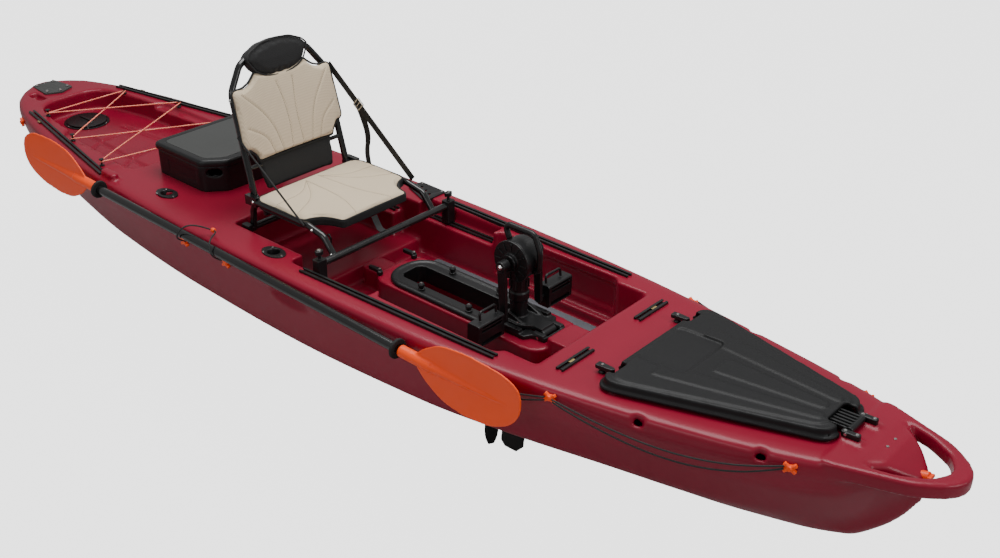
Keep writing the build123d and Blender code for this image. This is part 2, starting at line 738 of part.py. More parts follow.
def drive_mount():
    """The fixed base round the well's front, with the two lugs of the tilt hinge."""
    z = BOSS_TOP
    base = plan_profile([(TRAY_FRONT + 2, -78), (690, -78), (704, -54), (748, -50), (748, 50),
                         (704, 54), (690, 78), (TRAY_FRONT + 2, 78)], z, z + 14, 5)
    for side in (-1, 1):
        y0, y1 = sorted((side * (KNUCKLE_R + 19), side * 50))
        base += block(PIVOT_X - 20, PIVOT_X + 22, y0, y1, z + 10, PIVOT_Z + 14)
        y2, y3 = sorted((side * 58, side * 76))
        base += block(TRAY_FRONT + 10, 672, y2, y3, z + 10, z + 24)
    base -= block(TRAY_FRONT - 30, WELL_FRONT - 1, -WELL_HALF, WELL_HALF, z - 5, z + 40)
    base -= block(WELL_FRONT - 20, PIVOT_X + KNUCKLE_R + 8, -31, 31, z - 10, z + 60)
    base -= cross_rod(PIVOT_X, PIVOT_Z, -80, 80, PIVOT_PIN_R)
    return base


def pivot_pin():
    return cross_rod(PIVOT_X, PIVOT_Z, -50, 50, PIVOT_PIN_R)


def drive_column():
    """The foot that turns on the pivot pin, and the hollow column that stands on it."""
    low = BOSS_TOP + 14 + GAP
    foot = plan_profile([(566, -56), (648, -56), (688, -29), (PIVOT_X, -29), (PIVOT_X, 29),
                         (688, 29), (648, 56), (566, 56)], low, low + 12)
    for side in (-1, 1):
        y0, y1 = sorted((side * 34, side * 44))
        foot += side_profile([(572, low + 10), (670, low + 10), (640, low + 20), (606, low + 34),
                              (580, low + 20)], y0, y1)
    foot += cross_rod(PIVOT_X, PIVOT_Z, -29, 29, KNUCKLE_R)
    foot += block(PIVOT_X - 24, PIVOT_X, -29, 29, PIVOT_Z + 2, low + 12)
    foot -= cross_rod(PIVOT_X, PIVOT_Z, -80, 80, PIVOT_PIN_R + RUN)
    top = CRANK_Z - CASE_R + 10
    column = rod((CRANK_X, 0, low), (CRANK_X, 0, top), COLUMN_R)
    collar = rod((CRANK_X, 0, low + 66), (CRANK_X, 0, low + 92), COLUMN_R + 4)
    body = foot + column + collar
    body -= cross_rod(CRANK_X, CRANK_Z, -80, 80, CASE_R)
    body -= rod((CRANK_X, 0, low - 20), (CRANK_X, 0, top + 40), SHAFT_R + 4)
    return body


def gear_case():
    """The open bowl of the gear case, with the bearing wall on the port side."""
    bowl = cross_rod(CRANK_X, CRANK_Z, -CASE_HALF, CASE_HALF, CASE_R)
    bowl = chamfer(bowl.edges().group_by(Axis.Y)[-1], 7)
    bowl -= cross_rod(CRANK_X, CRANK_Z, -CASE_HALF - 5, CASE_HALF - CASE_WALL, CASE_R - CASE_WALL)
    bowl += cross_rod(CRANK_X, CRANK_Z, CASE_HALF - CASE_WALL, CASE_HALF + 22, 24)
    bowl -= cross_rod(CRANK_X, CRANK_Z, 0, 120, AXLE_R + RUN)
    bowl -= rod((CRANK_X, 0, CRANK_Z - CASE_R - 10), (CRANK_X, 0, CRANK_Z - 30), SHAFT_R + 4)
    return bowl


def gear_case_cover():
    """The screwed starboard cover, with its rim and bearing boss."""
    y = -CASE_HALF
    plate = cross_rod(CRANK_X, CRANK_Z, y - 8, y, CASE_R + 3)
    plate += cross_rod(CRANK_X, CRANK_Z, y - 22, y - 8, 26)
    plate -= cross_rod(CRANK_X, CRANK_Z, -120, 0, AXLE_R + RUN)
    plate -= block(CRANK_X - 40, CRANK_X + 40, y - 30, y + 5, CRANK_Z - 90, CRANK_Z - CASE_R + 4)
    return plate


def cover_screws():
    screws = []
    for i in range(6):
        turn = radians(30 + 60 * i)
        x, z = CRANK_X + 46 * cos(turn), CRANK_Z + 46 * sin(turn)
        screws.append(cross_rod(x, z, -CASE_HALF - 11, -CASE_HALF - 8, 4.5))
    return group(screws)


def drive_handle():
    """The lifting handle: a bar that rises from the back of the case and comes down in front."""
    reach = CASE_R + 12
    points = [(CRANK_X - 38, 0, CRANK_Z + 40), (CRANK_X - 62, 0, CRANK_Z + 92),
              (CRANK_X + 52, 0, CRANK_Z + 92), (CRANK_X + reach, 0, CRANK_Z + 40),
              (CRANK_X + reach, 0, CRANK_Z - 20), (CRANK_X + 40, 0, CRANK_Z - 34)]
    bar = bent_tube(points, [16, 20, 30, 16], 9)
    return bar - cross_rod(CRANK_X, CRANK_Z, -60, 60, CASE_R)


def crank_axle():
    axle = cross_rod(CRANK_X, CRANK_Z, -ARM_Y, ARM_Y, AXLE_R)
    gear = cross_rod(CRANK_X, CRANK_Z, 9, 18, 44)
    for i in range(24):
        tooth = Rot(0, 360 / 24 * i, 0) * Pos(39, 0, 0) * Box(8, 2.4, 3.4)
        gear += Pos(CRANK_X, 8.2, CRANK_Z) * tooth
    return axle + gear


def drive_shaft():
    """The upright shaft, with a pinion at each end."""
    low, top = PROP_Z + 12, CRANK_Z - 31
    shaft = rod((CRANK_X, 0, low), (CRANK_X, 0, top), SHAFT_R - 1)
    shaft += rod((CRANK_X, 0, CRANK_Z - 52), (CRANK_X, 0, CRANK_Z - 34), SHAFT_R - 0.5)
    return shaft


def lower_unit():
    """The leg, the gear pod and the skeg below the hull."""
    top = BOSS_TOP + 14 + GAP
    pod_r = 25.0
    leg_face = Pos(CRANK_X, 0, PROP_Z + 10) * Ellipse(34, LEG_HALF)
    leg = extrude(leg_face, top - PROP_Z - 10)
    flange = soft_block(CRANK_X - 36, CRANK_X + 36, -30, 30, top - 9, top, 6)
    pod = rod((PROP_X + 30, 0, PROP_Z), (CRANK_X + 26, 0, PROP_Z), pod_r)
    nose = Pos(CRANK_X + 26, 0, PROP_Z) * Sphere(pod_r)
    skeg = side_profile([(CRANK_X - 52, PROP_Z - 10), (CRANK_X + 40, PROP_Z - 10),
                         (CRANK_X + 34, PROP_Z - 74), (CRANK_X + 8, PROP_Z - 102),
                         (CRANK_X - 40, PROP_Z - 102), (CRANK_X - 56, PROP_Z - 84)], -5, 5)
    plate = soft_block(CRANK_X - 78, CRANK_X + 44, -30, 30, -66, -60, 20)
    body = leg + flange + pod + nose + skeg + plate
    body -= rod((CRANK_X, 0, PROP_Z), (CRANK_X, 0, top + 10), SHAFT_R + 3)
    body -= rod((PROP_X + 45, 0, PROP_Z), (CRANK_X + 20, 0, PROP_Z), 16)
    body -= rod((PROP_X, 0, PROP_Z), (PROP_X + 60, 0, PROP_Z), PROP_SHAFT_R + RUN)
    return body


def propeller():
    """A two-blade propeller on its shaft, with the blades upright so that they pass the slot."""
    hub = rod((PROP_X - 20, 0, PROP_Z), (PROP_X + 29, 0, PROP_Z), 23)
    seated = (Align.CENTER, Align.CENTER, Align.MIN)
    cone = Pos(PROP_X - 20, 0, PROP_Z) * Rot(0, -90, 0) * Cone(23, 9, 18, align=seated)
    shaft = rod((PROP_X, 0, PROP_Z), (CRANK_X - 8, 0, PROP_Z), PROP_SHAFT_R)
    gear = rod((CRANK_X - 20, 0, PROP_Z), (CRANK_X - 12, 0, PROP_Z), 13)
    blade_stations = [(16, 34, 9, 52), (58, 46, 6, 38), (98, 40, 4, 30), (PROP_R, 20, 3, 26)]
    sections = []
    for radius, chord, thick, pitch in blade_stations:
        face = RectangleRounded(thick, chord, thick * 0.45)
        sections.append(Pos(0, 0, radius) * Rot(0, 0, pitch) * face)
    blade = loft(sections)
    at_hub = Pos(PROP_X, 0, PROP_Z)
    body = hub + cone + shaft + gear
    body += at_hub * blade
    body += at_hub * Rot(180, 0, 0) * blade
    return body


def crank_foot():
    lean = radians(CRANK_LEAN)
    return CRANK_X + CRANK_LENGTH * sin(lean), CRANK_Z - CRANK_LENGTH * cos(lean)


def crank_arm(side):
    """One crank arm with its pedal pin."""
    fx, fz = crank_foot()
    y0, y1 = ARM_Y, ARM_Y + ARM_THICK
    arm = cross_rod(CRANK_X, CRANK_Z, y0 - 14, y1 + 3, 17) + cross_rod(fx, fz, y0, y1, 13)
    across = Vector(CRANK_Z - fz, 0, fx - CRANK_X).normalized()
    ends = [(CRANK_X, CRANK_Z, 15), (fx, fz, 12), (fx, fz, -12), (CRANK_X, CRANK_Z, -15)]
    corners = [(x + across.X * half, z + across.Z * half) for x, z, half in ends]
    arm += side_profile(corners, y0, y1)
    arm -= cross_rod(CRANK_X, CRANK_Z, 0, ARM_Y, AXLE_R)
    arm += cross_rod(fx, fz, y1, y1 + PEDAL_GAP + PEDAL_WIDTH - 8, PEDAL_PIN_R)
    return arm if side > 0 else mirrored(arm)


def pedal(side):
    """A deep pedal body with three slots and a foot-strap bow on top."""
    fx, fz = crank_foot()
    y0 = ARM_Y + ARM_THICK + PEDAL_GAP
    y1 = y0 + PEDAL_WIDTH
    body = block(fx - PEDAL_DEPTH / 2, fx + PEDAL_DEPTH / 2, y0, y1, fz - PEDAL_TALL / 2,
                 fz + PEDAL_TALL / 2)
    body = fillet(body.edges().filter_by(Axis.Y), 7)
    for low, tall in ((-30, 12), (12, 7), (24, 6)):
        body -= block(fx - 60, fx + 60, y0 + 12, y1 - 12, fz + low, fz + low + tall)
    top = fz + PEDAL_TALL / 2
    body += bent_tube([(fx, y0 + 12, top - 4), (fx - 4, y0 + 12, top + 26),
                       (fx - 4, y1 - 30, top + 26), (fx, y1 - 30, top - 4)], [9, 9], 4)
    body -= cross_rod(fx, fz, 0, y1 - 5, PEDAL_PIN_R + RUN)
    return body if side > 0 else mirrored(body)


# ---------------------------------------------------------------- seat
def seat_frame():
    """Side rails bent down into front legs, with rear legs and the backrest's pivot brackets."""
    r, y = SEAT_TUBE_R, SEAT_HALF
    side = bent_tube([(SEAT_REAR_X, y, SEAT_Z), (SEAT_FRONT_X, y, SEAT_Z),
                      (SEAT_FRONT_X + 70, y, SEAT_Z - 14), (BAR_X - 12, y, BAR_Z + 4)], [60, 34], r)
    rear = bent_tube([(SEAT_REAR_X + 10, y, SEAT_Z), (SEAT_REAR_X - 2, y, SEAT_Z - 34),
                      (REAR_BAR_X, y, BAR_Z - 40)], [20], r)
    bracket = block(SEAT_REAR_X - 30, SEAT_REAR_X + 24, y - 9, y + 9, SEAT_Z - 16, SEAT_Z + 16)
    frame = side + rear + bracket
    frame -= cross_rod(BAR_X, BAR_Z, 0, 400, BAR_R)
    frame -= cross_rod(REAR_BAR_X, BAR_Z - 30, 0, 400, BAR_R)
    frame += cross_rod(back_x(), SEAT_Z, BACK_HALF - 8, y - 5, BACK_PIN_R)
    cross = cross_rod(SEAT_REAR_X + 60, SEAT_Z - 26, -y, y, 8)
    links = both(rod((SEAT_REAR_X + 60, y, SEAT_Z - 30), (SEAT_REAR_X + 60, y, SEAT_Z), 8))
    half = frame.solids().sort_by(SortBy.VOLUME)[-1]
    return half + mirrored(half) + cross + links


def back_x():
    return SEAT_REAR_X - 14


def seat_bars():
    front = cross_rod(BAR_X, BAR_Z, -RAIL_Y - 12, RAIL_Y + 12, BAR_R)
    rear = cross_rod(REAR_BAR_X, BAR_Z - 30, -REAR_RAIL_Y - 8, REAR_RAIL_Y + 8, BAR_R)
    return group([front, rear])


def rail_top():
    return LEDGE_Z - SINK + TRACK_HEIGHT


def rail_clamps():
    """The four blocks that grip the bars and slide on the seat rails, with their knobs."""
    z0 = rail_top() + GAP
    front = soft_block(BAR_X - 22, BAR_X + 22, RAIL_Y - 18, RAIL_Y + 18, z0, BAR_Z + 18, 6)
    front += Pos(BAR_X, RAIL_Y, BAR_Z + 26) * Cylinder(6, 18)
    front += Pos(BAR_X, RAIL_Y, BAR_Z + 41) * Cylinder(15, 14)
    front -= cross_rod(BAR_X, BAR_Z, 0, RAIL_Y + 12, BAR_R)
    rear = soft_block(REAR_BAR_X - 18, REAR_BAR_X + 18, REAR_RAIL_Y - 11.5, REAR_RAIL_Y + 11.5,
                      z0, BAR_Z - 12, 6)
    rear -= cross_rod(REAR_BAR_X, BAR_Z - 30, 0, REAR_RAIL_Y + 8, BAR_R)
    return group([both(front), both(rear)])


def seat_cushion():
    """The sling of the seat: a plain slab between the side rails."""
    y = SEAT_HALF - SEAT_TUBE_R - GAP
    outline = [(SEAT_REAR_X + 34, -y), (SEAT_FRONT_X - 10, -y), (SEAT_FRONT_X + 60, -150),
               (4, -140), (4, 140), (SEAT_FRONT_X + 60, 150), (SEAT_FRONT_X - 10, y),
               (SEAT_REAR_X + 34, y)]
    return plan_profile(outline, SEAT_Z - 16, SEAT_Z + 14, 10)


def back_plane(forward=0.0):
    """The backrest's plane: local x to port, y up the lean, z forward."""
    lean = radians(BACK_LEAN)
    normal = Vector(cos(lean), 0, sin(lean))
    origin = Vector(back_x(), 0, SEAT_Z) + normal * forward
    return Plane(origin=origin, x_dir=(0, 1, 0), z_dir=normal)


def back_loop(r):
    top, y = BACK_HEIGHT - SEAT_TUBE_R, BACK_HALF
    local = [(y, 0), (y - 6, 345), (y - 66, top - 16), (0, top + 14), (66 - y, top - 16),
             (6 - y, 345), (-y, 0)]
    points = [back_plane().from_local_coords(Vector(a, b, 0)) for a, b in local]
    return bent_tube([(p.X, p.Y, p.Z) for p in points], [70, 60, 200, 60, 70], r)


def backrest_frame():
    """The bent tube of the backrest, with a bored lug at each foot and one lower cross tube."""
    frame = back_loop(SEAT_TUBE_R)
    a, b = (back_plane().from_local_coords(Vector(side * (BACK_HALF - 3), 96, 0)) for side in (-1, 1))
    frame += rod((a.X, a.Y, a.Z), (b.X, b.Y, b.Z), 7)
    for side in (-1, 1):
        y0, y1 = sorted((side * (BACK_HALF - 8), side * (BACK_HALF + 8)))
        frame += cross_rod(back_x(), SEAT_Z, y0, y1, 13)
    frame -= both(block(SEAT_REAR_X - 60, SEAT_REAR_X + 60, BACK_HALF + 8 + GAP, SEAT_HALF + 40,
                        SEAT_Z - 60, SEAT_Z + 40))
    frame -= cross_rod(back_x(), SEAT_Z, -BACK_HALF - 40, BACK_HALF + 40, BACK_PIN_R + RUN)
    return frame


def back_panel(outline, low, high, round_r):
    face = make_face(Polyline(*outline, close=True))
    face = fillet(face.vertices(), round_r)
    return extrude(back_plane(low) * face, high - low)


def backrest_cushion():
    """The sling of the backrest, between the frame's tubes."""
    y = BACK_HALF - SEAT_TUBE_R - 8
    outline = [(-y + 2, 140), (-y + 4, 345), (-110, 388), (110, 388), (y - 4, 345), (y - 2, 140),
               (140, 112), (-140, 112)]
    return back_panel(outline, -6, 12, 8)


def backrest_lumbar():
    outline = [(-134, 46), (-150, 84), (150, 84), (134, 46)]
    return back_panel(outline, -6, 10, 6)


def backrest_head_pad():
    outline = [(-128, 410), (-116, 440), (-60, 466), (60, 466), (116, 440), (128, 410), (60, 394),
               (-60, 394)]
    pad = back_panel(outline, -16, 18, 6)
    return pad - back_loop(SEAT_TUBE_R + GAP)


def flat_strap(start, end, width, thick):
    a, b = Vector(*start), Vector(*end)
    plane = Plane(origin=a, x_dir=(0, 1, 0), z_dir=(b - a))
    return extrude(plane * Rectangle(thick, width), (b - a).length)


def backrest_straps():
    top = back_plane().from_local_coords(Vector(SEAT_HALF + 14, 330, 0))
    strap = flat_strap((top.X, top.Y, top.Z), (SEAT_FRONT_X + 14, SEAT_HALF + 14, SEAT_Z + 12), 25, 2)
    return both(strap)


def seat_front_strap():
    x0 = SEAT_FRONT_X + 79 + GAP
    outline = [(x0, SEAT_Z - 12), (x0 + 2, SEAT_Z - 12), (BAR_X - BAR_R + 1, BAR_Z + 14),
               (BAR_X - BAR_R - 1, BAR_Z + 12)]
    return side_profile(outline, -30, -4) - cross_rod(BAR_X, BAR_Z, -99, 99, BAR_R)


# ---------------------------------------------------------------- paddle
def paddle_axis(x):
    (xa, za), (xb, zb) = RING_REAR, RING_FRONT
    return za + (zb - za) * (x - xa) / (xb - xa)


SOCKET = 34.0
RING_GAP = 16.0


def paddle_shaft():
    xa, xb = RING_REAR[0] - SOCKET, RING_FRONT[0] + SOCKET
    return rod((xa, PADDLE_Y, paddle_axis(xa)), (xb, PADDLE_Y, paddle_axis(xb)), PADDLE_R)


def paddle_blades():
    """Two asymmetric blades, each with the socket that the shaft is pushed into."""
    slope = degrees(atan2(RING_FRONT[1] - RING_REAR[1], RING_FRONT[0] - RING_REAR[0]))
    blades = []
    for end, sign in ((RING_FRONT[0] + RING_GAP, 1), (RING_REAR[0] - RING_GAP, -1)):
        outline = [(52, -12), (90, -52), (180, -BLADE_HALF), (300, -BLADE_HALF - 4),
                   (390, -BLADE_HALF + 26), (BLADE_LENGTH, -28), (BLADE_LENGTH - 14, 34),
                   (370, BLADE_HALF - 20), (270, BLADE_HALF), (160, BLADE_HALF - 14), (84, 42),
                   (52, 12)]
        flat = make_face(Polyline(*outline, close=True))
        flat = fillet(flat.vertices(), 9)
        plane = Plane(origin=(0, BLADE_THICK / 2, 0), x_dir=(1, 0, 0), z_dir=(0, -1, 0))
        blade = extrude(plane * flat, BLADE_THICK)
        blade += rod((0, 0, 0), (96, 0, 0), PADDLE_R + 4)
        blade += rod((96, 0, 0), (330, 0, 0), 9)
        blade -= rod((-10, 0, 0), (SOCKET - RING_GAP + GAP, 0, 0), PADDLE_R)
        turn = Rot(0, -slope, 0) if sign > 0 else Rot(0, -slope, 0) * Rot(0, 0, 180)
        blades.append(Location((end, PADDLE_Y, paddle_axis(end))) * turn * blade)
    return group(blades)


def drip_rings():
    slope = Vector(RING_FRONT[0] - RING_REAR[0], 0, RING_FRONT[1] - RING_REAR[1]).normalized()
    rings = []
    for x, z in (RING_FRONT, RING_REAR):
        centre = Vector(x, PADDLE_Y, z)
        plane = Plane(origin=centre - slope * 5, z_dir=slope)
        ring = extrude(plane * Circle(31), 10)
        ring = fillet(ring.edges(), 3)
        bore = extrude(Plane(origin=centre - slope * 20, z_dir=slope) * Circle(PADDLE_R), 40)
        rings.append(ring - bore)
    return group(rings)


# ---------------------------------------------------------------- assembly
def floor_mats():
    x0, x1 = 96.0, FOOT_FRONT - 16
    mat = plan_profile([(x0 - 60, 128), (x0 + 60, BOSS_HALF + 8), (x1 - 40, BOSS_HALF + 8),
                        (x1, BOSS_HALF + 20), (x1, FOOT_HALF - 20), (x1 - 20, FOOT_HALF - 8),
                        (x0 - 60, FOOT_HALF - 8)], FOOT_Z, FOOT_Z + 4, 6)
    return both(mat)


def accessory_plate():
    x, y = ACCESSORY_X, ACCESSORY_Y
    z = deck_z(x)
    outline = [(x - 62, y - 12), (x - 56, y + 50), (x + 62, y + 46), (x + 64, y - 62)]
    plate = plan_profile(outline, z - 3, z + 5, 6)
    for i in range(3):
        cx, cy = x - 26 + 30 * i, y + 18 - 12 * i
        plate -= plan_profile([(cx - 9, cy - 8), (cx + 9, cy - 8), (cx, cy + 10)], z - 9, z + 9, 1.5)
    return plate


def accessory_plate_screws():
    z = deck_z(ACCESSORY_X) + 5
    spots = [(-50, 2), (-46, 42), (52, 36), (54, -46)]
    return group([screw_at(ACCESSORY_X + dx, ACCESSORY_Y + dy, z) for dx, dy in spots])


PLUG_R = 13.0


def drain_place():
    x = station_x(0.948)
    return Location((x - 12, 0, deck_z(x) - 22), (0, 75, 0))


def drain_plug():
    barrel = Pos(0, 0, 9) * Cylinder(PLUG_R, 26)
    grip = Pos(0, 0, 26) * Box(8, 24, 10)
    return drain_place() * (barrel + grip)


def drain_seat():
    return drain_place() * Pos(0, 0, 30) * Cylinder(PLUG_R + RUN, 68)


def make_parts():
    """Every piece of the boat by its node name."""
    parts = {}
    seats = []

    rear_ends = track_ends(REAR_TRACK, REAR_TRACK_INSET)
    front_ends = track_ends(FRONT_TRACK, FRONT_TRACK_INSET)
    cross_x = LID_AFT - CROSS_TRACK_GAP
    cross_ends = [(cross_x, y, deck_z(cross_x) - SINK) for y in CROSS_TRACK_Y]
    rear_rail, rear_groove = track_pair(*rear_ends)
    front_rail, front_groove = track_pair(*front_ends)
    cross_rail, cross_groove = track_pair(*cross_ends)
    level = LEDGE_Z - SINK
    seat_front, seat_front_groove = track_pair((-50, RAIL_Y, level), (256, RAIL_Y, level))
    seat_rear, seat_rear_groove = track_pair((SEAT_AFT + 4, REAR_RAIL_Y, level),
                                             (REAR_LEDGE_FRONT - 10, REAR_RAIL_Y, level))
    parts["rear_gear_tracks"] = rear_rail
    parts["front_gear_tracks"] = front_rail
    parts["bow_cross_tracks"] = cross_rail
    parts["seat_rails"] = group([seat_front, seat_rear])
    seats += [rear_groove, front_groove, cross_groove, seat_front_groove, seat_rear_groove]
    parts["track_screws"] = group([track_screws(*rear_ends, 5), track_screws(*front_ends, 5)])

    holders = [(x, side * (half_beam(x) - inset)) for x, inset, side in ROD_HOLDERS]
    built = [rod_holder(x, y) for x, y in holders]
    parts["rod_holders"] = group([body for body, seat in built])
    seats += [seat for body, seat in built]
    holder_screws = group([rod_holder_screws(x, y) for x, y in holders])

    parts["accessory_plate"] = accessory_plate()
    parts["stern_plate"] = stern_plate()
    seats += [parts["accessory_plate"], parts["stern_plate"], stern_handhold()]
    deck_screws = group([holder_screws, accessory_plate_screws(), stern_plate_screws()])
    for name in ("rod_holders", "accessory_plate", "stern_plate"):
        parts[name] = group([parts[name] - deck_screws])
    parts["deck_screws"] = deck_screws
    seats.append(deck_screws)

    parts["access_cover_ring"] = access_ring()
    parts["access_cover"] = access_cover()
    seats += [Pos(cover_x(), 0, TANK_FLOOR_Z) * Cylinder(COVER_R + 10, 8),
              Pos(cover_x(), 0, TANK_FLOOR_Z) * Cylinder(COVER_R - 6, 60)]
    parts["tankwell_hooks"] = both(group([eyelet(x, inset) for x, inset in EYELETS]))
    seats.append(both(group([eyelet_seat(x, inset) for x, inset in EYELETS])))
    parts["tankwell_bungee"] = cord(TANK_BUNGEE, "tankwell_bungee")

    parts["side_clips"] = group([clip(x, z, side) for x, z in CLIPS for side in (-1, 1)])
    seats += [clip_seat(x, z, side) for x, z in CLIPS for side in (-1, 1)]
    port = [cord(points, "side_bungee") for points in SIDE_BUNGEES]
    parts["side_bungees"] = both(group(port))
    parts["paddle_keeper_cord"] = cord(PADDLE_KEEPER, "paddle_keeper_cord")

    parts["bow_drain_plug"] = drain_plug()
    seats.append(drain_seat())
    parts["bow_hatch_gasket"] = hatch_gasket()
    parts["bow_hatch_lid"] = hatch_lid()
    parts["bow_hatch_hinge"] = hatch_hinge()
    parts["bow_hatch_hinge_pin"] = hatch_pin()
    parts["hatch_latch_port"] = hatch_latch(1)
    parts["hatch_latch_starboard"] = hatch_latch(-1)
    seats += [parts["bow_hatch_gasket"], hatch_hinge_seat()]
    seats += [hatch_frame() * Pos(-30, side * LATCH_Y, 30) * Cylinder(11 + RUN, 70)
              for side in (-1, 1)]

    parts["deck_box"] = deck_box_tray()
    parts["deck_box_lid"] = deck_box_lid()
    parts["deck_box_lid_panel"] = deck_box_panel()
    seats.append(plan_profile(box_outline(), box_z(), box_z() + 60, 8))
    parts["floor_mats"] = floor_mats()

    parts["drive_well_tray"] = well_tray()
    parts["tray_bolts"] = tray_bolts()
    parts["tray_lever_port"] = tray_lever(1)
    parts["tray_lever_starboard"] = tray_lever(-1)
    parts["drive_mount"] = drive_mount()
    parts["drive_pivot_pin"] = pivot_pin()
    parts["drive_column"] = drive_column()
    parts["gear_case"] = gear_case()
    parts["gear_case_cover"] = gear_case_cover()
    parts["gear_case_screws"] = cover_screws()
    parts["drive_handle"] = drive_handle()
    parts["lower_unit"] = lower_unit()
    parts["drive_shaft"] = drive_shaft()
    parts["propeller"] = propeller()
    parts["crank_axle"] = crank_axle()
    parts["crank_arm_port"] = crank_arm(1)
    parts["crank_arm_starboard"] = crank_arm(-1)
    parts["pedal_port"] = pedal(1)
    parts["pedal_starboard"] = pedal(-1)

    parts["seat_frame"] = seat_frame()
    parts["seat_bars"] = seat_bars()
    parts["seat_rail_clamps"] = rail_clamps()
    parts["seat_cushion"] = seat_cushion()
    parts["seat_front_strap"] = seat_front_strap()
    parts["backrest_frame"] = backrest_frame()
    parts["backrest_cushion"] = backrest_cushion()
    parts["backrest_lumbar_panel"] = backrest_lumbar()
    parts["backrest_head_pad"] = backrest_head_pad()
    parts["backrest_straps"] = backrest_straps()

    parts["paddle_shaft"] = paddle_shaft()
    parts["paddle_blades"] = paddle_blades()
    parts["paddle_drip_rings"] = drip_rings()

    parts["hull"] = make_hull(seats)
    return parts


os.makedirs("parts", exist_ok=True)
for name, shape in make_parts().items():
    export_step(shape, "parts/" + name + ".step")
    print(name, len(shape.solids()), round(sum(solid.volume for solid in shape.solids())))
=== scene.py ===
"""Pedal-driven sit-on-top fishing kayak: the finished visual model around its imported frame.

Metres, +X to the bow, +Y to port, +Z up, the origin on the flat of the keel amidships.
"""
import logging
import math
from dataclasses import dataclass
from enum import Enum

import bmesh
import bpy
import numpy as np
from mathutils import Matrix, Vector
from mathutils.bvhtree import BVHTree


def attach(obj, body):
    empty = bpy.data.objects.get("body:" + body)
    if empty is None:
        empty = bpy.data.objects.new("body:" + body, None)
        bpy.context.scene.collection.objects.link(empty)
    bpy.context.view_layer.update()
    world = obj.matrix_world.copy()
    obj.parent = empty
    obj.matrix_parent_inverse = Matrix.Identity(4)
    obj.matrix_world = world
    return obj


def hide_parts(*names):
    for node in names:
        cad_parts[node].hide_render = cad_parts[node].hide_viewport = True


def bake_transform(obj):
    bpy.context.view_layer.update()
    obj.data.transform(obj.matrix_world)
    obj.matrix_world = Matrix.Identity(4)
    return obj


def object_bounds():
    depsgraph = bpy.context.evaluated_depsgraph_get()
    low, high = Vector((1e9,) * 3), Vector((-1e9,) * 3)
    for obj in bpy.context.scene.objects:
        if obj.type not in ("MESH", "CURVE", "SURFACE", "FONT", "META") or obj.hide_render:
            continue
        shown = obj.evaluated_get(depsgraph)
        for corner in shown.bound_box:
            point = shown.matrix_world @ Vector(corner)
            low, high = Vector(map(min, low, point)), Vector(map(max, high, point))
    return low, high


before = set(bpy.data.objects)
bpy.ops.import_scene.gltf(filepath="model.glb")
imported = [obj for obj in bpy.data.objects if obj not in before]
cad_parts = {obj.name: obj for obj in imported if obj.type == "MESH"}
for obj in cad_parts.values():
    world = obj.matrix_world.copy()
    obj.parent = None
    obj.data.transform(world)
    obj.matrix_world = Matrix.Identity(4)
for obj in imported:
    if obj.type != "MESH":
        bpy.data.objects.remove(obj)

LOG = logging.getLogger("kayak")
Point = tuple[float, ...]
Points = list[Point]
CAD_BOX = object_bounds()

# ------------------------------------------------------------------ finishes


class Surface(Enum):
    """The kind of relief a finish has."""

    MOULDED = "moulded"
    GRAINED = "grained"
    SPACER = "spacer mesh"
    WEBBING = "webbing"
    BRAID = "braid"
    METAL = "metal"
    FOAM = "foam"


